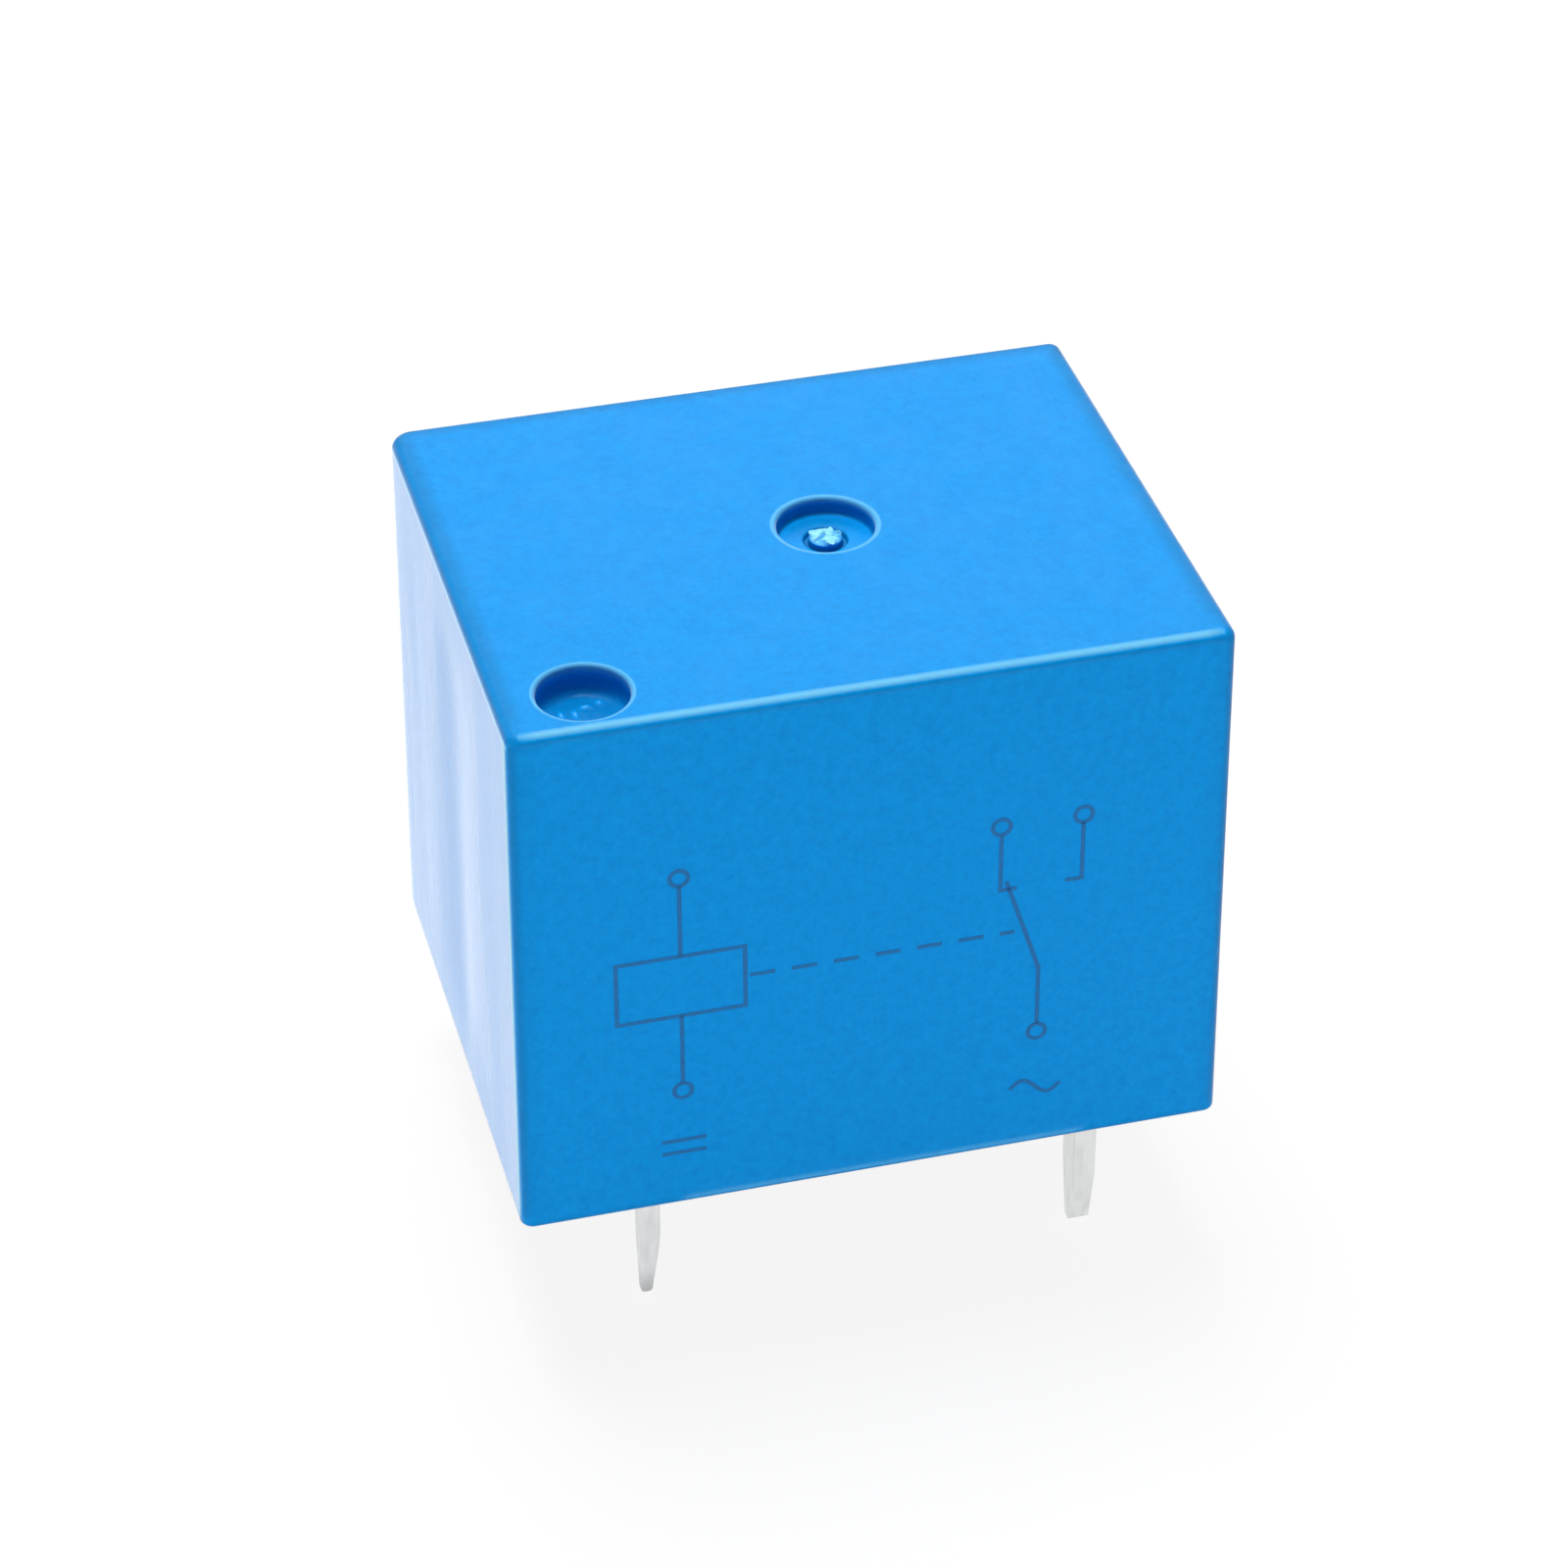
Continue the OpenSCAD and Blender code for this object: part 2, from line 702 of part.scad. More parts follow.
module normally_closed_terminal() {
    outer = row_y + blade_w / 2;
    inner = tongue_w / 2 + row_edge;
    color(brass) {
        cross_plate(contact_x, contact_sheet) contact_plate(row_y, inner, outer, closed_tab_z + tab_t);
        contact_tab(-tab_w / 2, outer, closed_tab_z);
    }
}

module normally_closed_contact() {
    color(silver) translate([meet_x, 0, closed_tab_z]) mirror([0, 0, 1]) fixed_contact();
}

cover();
base();
base_seal();
bobbin();
coil_winding();
coil_solder();
coil_terminal(-row_y);  // coil_terminal_front
coil_terminal(row_y);  // coil_terminal_rear
core();
yoke();
yoke_rivets();
common_terminal();
armature();
armature_rivets();
contact_spring();
moving_contact();
normally_open_terminal();
normally_open_contact();
normally_closed_terminal();
normally_closed_contact();
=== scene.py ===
"""Looks of a sealed PCB power relay: case, front marking, resin, pins, magnet and contacts.

Shapes are drawn in millimetres, in the part's own frame, and become metres where a mesh is made.
"""
import math

import bmesh
import bpy
from mathutils import Matrix, Vector, noise
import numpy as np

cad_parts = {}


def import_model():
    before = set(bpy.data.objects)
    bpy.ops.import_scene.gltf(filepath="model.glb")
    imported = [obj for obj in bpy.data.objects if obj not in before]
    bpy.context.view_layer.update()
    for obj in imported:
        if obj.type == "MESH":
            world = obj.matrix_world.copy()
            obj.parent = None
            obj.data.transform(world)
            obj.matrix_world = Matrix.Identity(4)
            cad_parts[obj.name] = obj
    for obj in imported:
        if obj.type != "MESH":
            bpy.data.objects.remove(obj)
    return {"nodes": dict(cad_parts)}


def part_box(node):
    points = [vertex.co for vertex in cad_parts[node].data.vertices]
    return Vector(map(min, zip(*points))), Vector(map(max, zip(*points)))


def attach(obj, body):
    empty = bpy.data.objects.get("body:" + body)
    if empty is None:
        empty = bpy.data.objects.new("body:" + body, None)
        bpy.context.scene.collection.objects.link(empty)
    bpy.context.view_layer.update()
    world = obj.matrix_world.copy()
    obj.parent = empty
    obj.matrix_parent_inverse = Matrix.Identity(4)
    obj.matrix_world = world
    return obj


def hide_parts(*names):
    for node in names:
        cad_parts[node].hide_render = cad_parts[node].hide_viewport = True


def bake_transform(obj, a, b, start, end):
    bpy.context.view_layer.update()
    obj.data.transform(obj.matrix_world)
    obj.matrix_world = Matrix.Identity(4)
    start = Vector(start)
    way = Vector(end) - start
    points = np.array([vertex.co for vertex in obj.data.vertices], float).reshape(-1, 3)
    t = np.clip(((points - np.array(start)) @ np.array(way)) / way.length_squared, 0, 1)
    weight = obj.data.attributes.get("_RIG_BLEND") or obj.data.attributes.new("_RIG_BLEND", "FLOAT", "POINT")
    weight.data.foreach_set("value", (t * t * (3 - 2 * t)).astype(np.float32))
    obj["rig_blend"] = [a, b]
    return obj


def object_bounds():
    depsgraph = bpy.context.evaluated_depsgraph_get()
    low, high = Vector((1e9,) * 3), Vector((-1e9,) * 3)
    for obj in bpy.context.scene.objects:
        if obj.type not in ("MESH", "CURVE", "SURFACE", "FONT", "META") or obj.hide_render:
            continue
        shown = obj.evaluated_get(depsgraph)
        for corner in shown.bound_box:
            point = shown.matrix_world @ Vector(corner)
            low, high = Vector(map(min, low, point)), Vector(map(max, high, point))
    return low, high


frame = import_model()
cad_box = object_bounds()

MM = 0.001
NEARLY = 1e-6
MERGE = 0.0005


def box_mm(node):
    """Lowest and highest corner of a CAD node, in millimetres."""
    low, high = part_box(node)
    return low / MM, high / MM


# Case sizes: the outside comes from the frame, the rest repeats the part's driving sizes
HALF_L, HALF_W, CASE_H = box_mm("cover")[1]
TOP_EDGE_R = 0.3
RIM_BEVEL = 0.15
DRAFT = 0.15
WALL = 0.7
TOP_WALL = 0.8
SHOULDER_Z = CASE_H - TOP_EDGE_R
LEAN = DRAFT / SHOULDER_Z

# Upright edges as the photograph shows them, anticlockwise from +X +Y: all but one crisper than the solid's
CORNER_R = (0.35, 0.6, 0.35, 0.35)
CORNER_TOP_R = 0.1
WALL_CORNERS = (0.12,) * 4

# Sink marks in the end walls: place along Y, width and depth of each; they fade towards rim and shoulder
SINKS = ((-0.4, 1.7, 0.07), (4.4, 0.9, 0.012))
SINK_END = 0.4
SINK_FULL = 3.0

# Painted light on the case's edges: painted highlights above zero and painted shade below it
EDGE_HIGHLIGHT = 0.6
EDGE_SHADE = -0.3
EDGE_SHADE_LINE = -0.4
EDGE_BAND = 0.12
EDGE_FADE = 0.4

# Where those looks start and are full, as distances from the edge
LONG_EDGE = (1.2, 0.8)
FRONT_ENDS = (0.6, 0.35)
LEFT_EDGE = (0.5, 0.3)
RIM_FACE = (0.3, 0.2)
CLEAR_OF_COIL_PINS = (-5.5, -5.0)
CLEAR_OF_BLADES = (5.5, 6.0)

# Middle and width of painted glints and shade lines along the case's edges, in radians round the top edge or
# millimetres up the rim
TOP_GLINT = (1.15, 0.38)
TOP_SHADE_LINE = (0.5, 0.22)
REAR_SHADE_LINE = (1.1, 0.3)
LEFT_GLINT = (0.0, 0.15)
RIM_GLINT = (0.17, 0.07)

# Recesses in the top
LIP_R = 0.1
# Painted highlight on the lips of the recesses and painted shade inside them
LIP_HIGHLIGHT = 0.35
WELL_TAPER = 0.02
WELL_SHADE = -0.3
GATE_X = 0.7
GATE_R = 1.3
GATE_DEPTH = 0.48
GATE_FOOT_R = 0.08
GATE_BAND = 0.045
GROOVE_R = 0.58
GROOVE_DEPTH = 0.11
# Painted shade in the groove round the stub
GROOVE_SHADE = -0.6
STUB_R = 0.45
STUB_H = 0.22
VENT_X = 2.45 - HALF_L
VENT_Y = 1.82 - HALF_W
VENT_R = 1.2
VENT_DEPTH = 0.9
VENT_FILL = 0.1
VENT_FOOT_R = 0.28
VENT_BAND = 0.015
VENT_WALL = 0.4

# Torn edge of the stub: waves round it, their height and their turn
STUB_WAVES = ((3, 0.10, 0.4), (5, 0.09, 2.0), (8, 0.06, 0.0))
STUB_SHRINK = 0.06
STUB_GRAIN = 6.0

# Shreds of flash on the floor of the vent: place and width of each along X and Y
VENT_SHREDS = (
    (-0.52, 0.24, 0.06, 0.16), (-0.17, 0.20, 0.07, 0.16),
    (0.14, 0.46, 0.14, 0.07), (0.52, 0.57, 0.07, 0.09),
)

# Points and rings of the case's mesh, and the narrow strip that holds a shape beside an edge
CASE_STEPS = {"corner_steps": 8, "side_steps": (40, 44)}
RIM_STEPS = 6
WALL_STEPS = 24
EDGE_STEPS = 9
LIP_STEPS = 5
FOOT_STEPS = 3
MOUTH_RINGS = 2 + LIP_STEPS + 1
RECESS_STEPS = 96
BOSS_STEPS = 48
SUPPORT = 0.02

# Front marking: width of its lines, how far they stand proud and reach in, and their sharpest mitre
LINE_W = 0.12
LINE_UP = 0.006
LINE_SUNK = 0.02
MITRE_LIMIT = 0.4
CURVE_STEPS = 20

# Underside: the pad of the base, and the pins where they pass the resin
PAD_X0, PAD_X1 = -4.35, 4.85
PAD_HALF_W = 4.5
PAD_GAP = 0.01
PAD_CORNERS = (0.5,) * 4
PINS = ("coil_terminal_front", "coil_terminal_rear", "common_terminal",
        "normally_open_terminal", "normally_closed_terminal")
PIN_ROW_Y = 6.0
BLADE_W = 1.0
BLADE_T = 0.6

# Resin: how high it is drawn up and over what distance, and how near the seat it may come
PAD_RISE = (0.14, 0.3)
WALL_RISE = (0.2, 0.35)
PIN_RISE = (0.08, 0.3)
RESIN_MIN_Z = 0.05
RESIN_STEPS = {"corner_steps": 8, "side_steps": (110, 90)}
RESIN_LAYERS = 26

# Coil pins: top, taper and round tip, with depths below the seat where the taper and the darkening towards
# the tip start
PIN_TOP_H = 0.06
PIN_TOP_IN = 0.05
PIN_UNEVEN = 0.03
PIN_TIP_DARK = -0.6
TAPER_FROM = 2.1
TAPER_PAST = 0.4
TIP_DARK_FROM = 3.2
TIP_H = 1.8
TIP_W = 0.3
TIP_ROUND = 0.16
TIP_TURNS = (15, 30, 45, 60, 75, 85)
SHANK_STEPS = 30
TIP_STEPS = 12
SHANK_SOFT = 0.36
TIP_SOFT = 0.5

# Pieces that keep their solids: width of their round edges, and the angles that count as flat and as an edge
SOFT_EDGE = 0.04
FLAT_DEG = 0.5
SHARP_DEG = 35

# Camera, fitted to the edges, recesses and front pin of the case in the photograph
IMAGE_SIDE = 1600
FOCAL_PX = 4825.64
CAMERA_AZIMUTH = -14.766
CAMERA_ELEVATION = 35.477
CAMERA_ROLL = -0.144
CAMERA_OFFSET = (0.4379, -5.9483)
CAMERA_DISTANCE = 132.274
SENSOR_MM = 36


# Shape helpers

def bell(x, middle, width):
    """A smooth bump of height 1."""
    return math.exp(-((x - middle) / width) ** 2)


def smooth_step(x, low, high):
    """0 up to low, 1 from high on, and a smooth rise between them."""
    t = min(1.0, max(0.0, (x - low) / (high - low)))
    return t * t * (3 - 2 * t)


def near(place, edge, start, full):
    """0 where a place is further than start from an edge, 1 where it is nearer than full."""
    return smooth_step(place, edge - start, edge - full)


def quarter(steps, first=0):
    """Angles of the steps of a quarter turn, from the first one asked for."""
    return [math.radians(90 / steps * i) for i in range(first, steps + 1)]


def circle(x, y, r, steps):
    """Points round a circle, anticlockwise from its +X side."""
    turns = [2 * math.pi * i / steps for i in range(steps)]
    return [(x + r * math.cos(a), y + r * math.sin(a)) for a in turns]


def outline(half_x, half_y, radii, centre_x=0.0, corner_steps=6, side_steps=(24, 20)):
    """Points round a rectangle with round corners, anticlockwise from the top of its +X side."""
    corners = []
    for k, (sx, sy, r) in enumerate(zip((1, -1, -1, 1), (1, 1, -1, -1), radii)):
        cx, cy = centre_x + sx * (half_x - r), sy * (half_y - r)
        turns = [math.radians(90 * (k + i / corner_steps)) for i in range(corner_steps + 1)]
        corners.append([(cx + r * math.cos(a), cy + r * math.sin(a)) for a in turns])
    points = []
    for k, corner in enumerate(corners):
        points += corner
        start, end = Vector(corner[-1]), Vector(corners[(k + 1) % 4][0])
        steps = side_steps[k % 2]
        points += [tuple(start.lerp(end, i / steps)) for i in range(1, steps)]
    return points


# Mesh helpers

def new_bmesh():
    """An empty mesh with a layer that says how pale each point is, or below zero how dark; on the case it
    mostly holds painted highlights and painted shade.
    """
    bm = bmesh.new()
    bm.verts.layers.float.new("pale")
    return bm


def ring(bm, points, pale=0.0):
    """Adds points in millimetres; pale is one value or one for each point."""
    layer = bm.verts.layers.float["pale"]
    made = []
    for i, p in enumerate(points):
        v = bm.verts.new(Vector(p) * MM)
        v[layer] = pale[i] if isinstance(pale, list) else pale
        made.append(v)
    return made


def bridge(bm, rings, finish=0):
    """Quads between each ring and the next, in the piece's material of that number."""
    for a, b in zip(rings, rings[1:]):
        for i in range(len(a)):
            j = (i + 1) % len(a)
            bm.faces.new((a[i], a[j], b[j], b[i])).material_index = finish


def fill_flat(bm, rings, up):
    """Triangles over the flat that lies within the first ring and round the others."""
    edges = [bm.edges.get((verts[i - 1], verts[i])) for verts in rings for i in range(len(verts))]
    bmesh.ops.triangle_fill(bm, use_beauty=True, edges=edges, normal=(0, 0, up))


def mesh_object(bm, name, *materials, sharp_deg=40):
    """Closes a bmesh into an object with smooth faces and sharp creases."""
    bmesh.ops.recalc_face_normals(bm, faces=bm.faces)
    mesh = bpy.data.meshes.new(name)
    bm.to_mesh(mesh)
    bm.free()
    for face in mesh.polygons:
        face.use_smooth = True
    mesh.set_sharp_from_angle(angle=math.radians(sharp_deg))
    for material in materials:
        mesh.materials.append(material)
    piece = bpy.data.objects.new(name, mesh)
    bpy.context.scene.collection.objects.link(piece)
    return piece


# Material helpers

class Shader:
    """A Principled material with short ways to add procedural detail, in millimetres."""

    def __init__(self, name, **sockets):
        self.material = bpy.data.materials.new(name)
        self.material.use_nodes = True
        self.tree = self.material.node_tree
        self.surface = self.tree.nodes["Principled BSDF"]
        for key, value in sockets.items():
            self.surface.inputs[key.replace("_", " ")].default_value = value
        place = self.add("ShaderNodeTexCoord")
        scaled = self.add("ShaderNodeMapping")
        scaled.inputs["Scale"].default_value = (1 / MM,) * 3
        self.link(place.outputs["Object"], scaled.inputs["Vector"])
        self.place = scaled.outputs["Vector"]

    def add(self, kind, **settings):
        made = self.tree.nodes.new(kind)
        for key, value in settings.items():
            setattr(made, key, value)
        return made

    def link(self, out, into):
        self.tree.links.new(out, into)

    def stretched(self, scale):
        """The place in millimetres, scaled along each axis."""
        made = self.add("ShaderNodeMapping")
        made.inputs["Scale"].default_value = scale
        self.link(self.place, made.inputs["Vector"])
        return made.outputs["Vector"]

    def noise(self, size, detail=2.0, place=None):
        """Noise whose lumps are about size millimetres across."""
        made = self.add("ShaderNodeTexNoise")
        made.inputs["Scale"].default_value = 1 / size
        made.inputs["Detail"].default_value = detail
        self.link(place or self.place, made.inputs["Vector"])
        return made.outputs["Fac"]

    def bands(self, pitch):
        """Level bands that repeat along Z, pitch millimetres apart."""
        made = self.add("ShaderNodeTexWave", bands_direction="Z")
        made.inputs["Scale"].default_value = math.pi / (10 * pitch)
        self.link(self.place, made.inputs["Vector"])
        return made.outputs["Fac"]

    def span(self, value, low, high, start=0.3, end=0.7):
        """Stretches start to end of a value to low to high."""
        made = self.add("ShaderNodeMapRange")
        for key, number in (("From Min", start), ("From Max", end), ("To Min", low), ("To Max", high)):
            made.inputs[key].default_value = number
        self.link(value, made.inputs["Value"])
        return made.outputs["Result"]

    def mix(self, factor, a, b):
        """Colour a where the factor is 0, b where it is 1; a and b are colours or sockets."""
        made = self.add("ShaderNodeMix", data_type="RGBA")
        self.link(factor, made.inputs["Factor"])
        for colour, socket in ((a, made.inputs[6]), (b, made.inputs[7])):
            if isinstance(colour, tuple):
                socket.default_value = (*colour, 1)
            else:
                self.link(colour, socket)
        return made.outputs[2]

    def colour(self, socket):
        self.link(socket, self.surface.inputs["Base Color"])

    def rough(self, socket):
        self.link(socket, self.surface.inputs["Roughness"])

    def bump(self, *heights):
        """Bumps one over the other, each a value and its height in millimetres."""
        normal = None
        for value, height in heights:
            made = self.add("ShaderNodeBump")
            made.inputs["Strength"].default_value = 1
            made.inputs["Distance"].default_value = height * MM
            self.link(value, made.inputs["Height"])
            if normal:
                self.link(normal, made.inputs["Normal"])
            normal = made.outputs["Normal"]
        self.link(normal, self.surface.inputs["Normal"])

    def pale(self):
        """How pale the mesh says that a point is, below zero where it is dark."""
        return self.add("ShaderNodeAttribute", attribute_name="pale").outputs["Fac"]


def shade(colour, share):
    """A colour at a share of its brightness."""
    return tuple(share * c for c in colour)


# Materials

def case_plastic(name, sheen):
    """Moulded blue polyester: fine spark-eroded grain, satin, whitish at a glance along the surface."""
    s = Shader(name, IOR=1.2, Specular_IOR_Level=0.25, Sheen_Weight=sheen, Sheen_Roughness=0.3)
    streaks = s.span(s.noise(1.3, place=s.stretched((1, 1, 0.12))), 0, 1)
    mottle = s.span(s.noise(0.32, detail=3.0), 0, 1)
    grain = s.noise(0.13, detail=3.0)
    blue = s.mix(mottle, (0.0005, 0.276, 0.768), (0.001, 0.322, 0.842))
    blue = s.mix(s.span(grain, 0, 0.6, 0.35, 0.75), blue, (0.004, 0.365, 0.915))
    pale = s.pale()
    # Below zero the pale layer paints shade, in dark blue
    blue = s.mix(s.span(pale, 1, 0, -1, 0), blue, (0.001, 0.09, 0.23))
    # Above zero it paints highlights in pale cyan; on the torn stub it gives the plastic's paler tone
    s.colour(s.mix(s.span(pale, 0, 1, 0, 1), blue, (0.30, 0.80, 1.0)))
    s.rough(s.span(streaks, 0.27, 0.37))
    s.bump((grain, 0.006), (s.noise(0.5), 0.006))
    return s.material


def marking_ink():
    """Laser marking: the plastic burnt to a dull dark blue."""
    s = Shader("laser_marking", IOR=1.4)
    burnt = s.span(s.noise(0.09, detail=4.0), 0, 1)
    s.colour(s.mix(burnt, (0.003, 0.13, 0.38), (0.004, 0.19, 0.53)))
    s.rough(s.span(burnt, 0.6, 0.8))
    s.bump((burnt, 0.01))
    return s.material


def base_plastic():
    """Moulded black plastic with a fine dull grain."""
    s = Shader("base_plastic", IOR=1.5)
    grain = s.noise(0.14, detail=3.0)
    s.colour(s.mix(s.span(s.noise(2.2), 0, 1), (0.011, 0.012, 0.014), (0.022, 0.023, 0.026)))
    s.rough(s.span(grain, 0.42, 0.58))
    s.bump((grain, 0.008))
    return s.material


def sealing_resin():
    """Cast epoxy: almost black brown, glossy, with a slow ripple and dust."""
    s = Shader("sealing_resin", IOR=1.55)
    flow = s.noise(1.6, detail=2.0)
    dust = s.span(s.noise(0.07, detail=1.0), 0, 0.35, 0.62, 0.75)
    dark = s.mix(s.span(flow, 0, 1), (0.012, 0.010, 0.008), (0.024, 0.020, 0.016))
    s.colour(s.mix(dust, dark, (0.14, 0.13, 0.12)))
    s.rough(s.span(flow, 0.22, 0.36))
    s.bump((flow, 0.03))
    return s.material


def tinned(name, base):
    """Dipped tin: soft bright metal with slow drips along the pin, darker towards the tip."""
    s = Shader(name, Metallic=1.0)
    drips = s.noise(0.7, detail=1.0, place=s.stretched((2.0, 2.0, 0.3)))
    dull_and_painted_shade = s.span(s.noise(0.4, detail=2.0, place=s.stretched((2.0, 2.0, 0.4))), 0, 1)
    tin = s.mix(dull_and_painted_shade, base, shade(base, 0.86))
    s.colour(s.mix(s.span(s.pale(), 1, 0, -1, 0), tin, shade(base, 0.4)))
    s.rough(s.span(drips, 0.30, 0.42))
    s.bump((drips, 0.008))
    return s.material


def plated_iron():
    """Nickel-plated soft iron with fine rolling lines."""
    s = Shader("soft_iron", Metallic=1.0)
    lines = s.noise(0.09, detail=2.0, place=s.stretched((0.12, 1, 1)))
    s.colour(s.mix(s.span(s.noise(1.4), 0, 1), (0.48, 0.49, 0.49), (0.60, 0.60, 0.58)))
    s.rough(s.span(lines, 0.28, 0.46))
    s.bump((lines, 0.004))
    return s.material


def rolled_strip():
    """Copper alloy spring strip with grain along its length and a faint tarnish."""
    s = Shader("spring_copper", Metallic=1.0)
    grain = s.noise(0.08, detail=2.0, place=s.stretched((0.15, 1, 0.15)))
    s.colour(s.mix(s.span(s.noise(1.1), 0, 1), (0.72, 0.40, 0.23), (0.62, 0.31, 0.17)))
    s.rough(s.span(grain, 0.22, 0.38))
    s.bump((grain, 0.003))
    return s.material


def upset_brass():
    """Brass rivets, scuffed where they were upset."""
    s = Shader("rivet_metal", Metallic=1.0)
    scuffed = s.noise(0.2, detail=4.0)
    s.colour(s.mix(s.span(scuffed, 0, 1), (0.75, 0.55, 0.28), (0.60, 0.42, 0.20)))
    s.rough(s.span(scuffed, 0.26, 0.45))
    s.bump((scuffed, 0.006))
    return s.material


def contact_silver():
    """Silver alloy with faint yellow tarnish."""
    s = Shader("contact_silver", Metallic=1.0)
    tarnish = s.span(s.noise(0.5, detail=3.0), 0, 1)
    s.colour(s.mix(tarnish, (0.90, 0.89, 0.86), (0.78, 0.74, 0.66)))
    s.rough(s.span(tarnish, 0.18, 0.34))
    s.bump((s.noise(0.12, detail=3.0), 0.003))
    return s.material


def solder():
    """Bright solder with a frosted skin."""
    s = Shader("solder", Metallic=1.0)
    frost = s.noise(0.12, detail=4.0)
    s.colour(s.mix(s.span(frost, 0, 1), (0.58, 0.59, 0.60), (0.72, 0.73, 0.74)))
    s.rough(s.span(frost, 0.25, 0.5))
    s.bump((frost, 0.01))
    return s.material


def bobbin_plastic():
    """Moulded ivory plastic with a fine grain."""
    s = Shader("bobbin_plastic", IOR=1.48)
    grain = s.noise(0.12, detail=3.0)
    s.colour(s.mix(s.span(s.noise(2.5), 0, 1), (0.70, 0.66, 0.53), (0.78, 0.74, 0.62)))
    s.rough(s.span(grain, 0.42, 0.56))
    s.bump((grain, 0.005))
    return s.material


def enamelled_wire():
    """Fine copper wire under red-brown enamel, turn on turn."""
    s = Shader("enamelled_wire", Metallic=0.85, Coat_Weight=0.6, Coat_Roughness=0.15)
    turns = s.bands(pitch=0.12)
    patchy = s.noise(0.35, detail=2.0, place=s.stretched((0.25, 0.25, 3.0)))
    copper = s.mix(s.span(patchy, 0, 1), (0.46, 0.13, 0.035), (0.62, 0.22, 0.07))
    # Painted shade: the colour darkens where the bands dip between the turns
    s.colour(s.mix(s.span(turns, 0, 1, 0, 0.5), (0.12, 0.03, 0.01), copper))
    s.rough(s.span(patchy, 0.22, 0.38))
    s.bump((turns, 0.03), (patchy, 0.006))
    return s.material


# Case

def sunk(x, y, z):
    """A point of the case's end walls, drawn in a hair where the moulding sank while it cooled."""
    fade = smooth_step(z, SINK_END, SINK_FULL) * (1 - near(z, SHOULDER_Z, SINK_FULL, SINK_END))
    if abs(x) > HALF_L - DRAFT - TOP_EDGE_R and abs(y) < HALF_W - max(CORNER_R):
        depth = sum(deep * bell(y, middle, width) for middle, width, deep in SINKS)
        x -= math.copysign(depth * fade, x)
    return x, y, z


def case_sides():
    """Inset, height and turn of the surface at each ring up the outside, from the rim to the flat top."""
    rim = [(RIM_BEVEL * (1 - math.sin(a)), RIM_BEVEL * (1 - math.cos(a)), 0) for a in quarter(RIM_STEPS)]
    rim += [(0, RIM_BEVEL + k * SUPPORT, 0) for k in (1, 4, 8)]
    rise = SHOULDER_Z - RIM_BEVEL
    shares = [i / WALL_STEPS for i in range(1, WALL_STEPS)] + [1 - EDGE_BAND / rise, 1]
    wall = [(DRAFT * share, RIM_BEVEL + rise * share, 0) for share in shares]
    edge = [(DRAFT + TOP_EDGE_R * (1 - math.cos(a)), SHOULDER_Z + TOP_EDGE_R * math.sin(a), a)
            for a in quarter(EDGE_STEPS, first=1)]
    return rim + wall + edge


def corner_radii(inset, z):
    """Radius of each upright edge: the same up the wall, less round the rim and the edge of the top."""
    return [max(CORNER_TOP_R, r - max(0.0, inset - LEAN * z)) for r in CORNER_R]


def corner_turn(x, y, half_x, half_y, radii):
    """How far a point is round an upright edge: 0 at the end wall, 1 at the long wall, -1 off the edge."""
    r = radii[(0 if x > 0 else 1) if y > 0 else (3 if x > 0 else 2)]
    along, across = abs(x) - half_x + r, abs(y) - half_y + r
    if min(along, across) < -NEARLY:
        return -1.0
    return max(0.0, math.atan2(across, along) / math.radians(90))


def edge_painted_light(x, y, z, turn, corner):
    """How pale or dark a point on the case's edges is.

    Painted highlights run along the front edge of the top and up the upright at its left, and painted shade
    runs all round the rest.
    """
    front = near(-y, HALF_W, *LONG_EDGE) * (1 - near(abs(x), HALF_L, *FRONT_ENDS))
    rear = near(y, HALF_W, *LONG_EDGE)
    left = near(-x, HALF_L, *LEFT_EDGE) * (1 - smooth_step(corner, 0.05, 0.5))
    upright = smooth_step(z, 0.2, 0.4) * (1 - smooth_step(turn, 0, 0.5))
    rim = 1 - smooth_step(z, 0.05, 0.3)
    between_pins = smooth_step(x, *CLEAR_OF_COIL_PINS) * (1 - smooth_step(x, *CLEAR_OF_BLADES))
    between_pins *= near(abs(y), HALF_W, *RIM_FACE)

    # Painted shade on the rim and round every edge but the front one, more on the rim between the pins
    dull_and_painted_shade = max(rim, (1 - front) * smooth_step(turn, 0, 0.6)) + between_pins * rim
    # Painted dark lines beside the uprights and along the front, left and rear edges of the top
    line = smooth_step(corner, 0.2, 0.45) * (1 - 0.8 * smooth_step(corner, 0.5, 1.0)) * upright
    line += 0.7 * max(front, left) * bell(turn, *TOP_SHADE_LINE) + 0.6 * rear * bell(turn, *REAR_SHADE_LINE)
    # Painted glints along the front and left edges of the top, on the rim between the pins and up the
    # front-left upright
    painted_highlight = front * bell(turn, *TOP_GLINT) + between_pins * bell(z, *RIM_GLINT)
    painted_highlight += 1.2 * left * near(z, SHOULDER_Z, EDGE_BAND, 0) * bell(turn, *LEFT_GLINT)
    if x < 0 and y < 0:
        painted_highlight += 1.3 * bell(corner, 0.0, 0.2) * upright
    return EDGE_HIGHLIGHT * painted_highlight + EDGE_SHADE * dull_and_painted_shade + EDGE_SHADE_LINE * line


def flat_border(points):
    """The border of the flat top: the painted shade of the side and rear edges fades into it, the front one's
    painted highlight doesn't.
    """
    border = []
    for x, y in points:
        inset = SUPPORT if y < 0 else EDGE_FADE
        border.append((x * (1 - EDGE_FADE / HALF_L), y * (1 - inset / HALF_W), CASE_H))
    return border


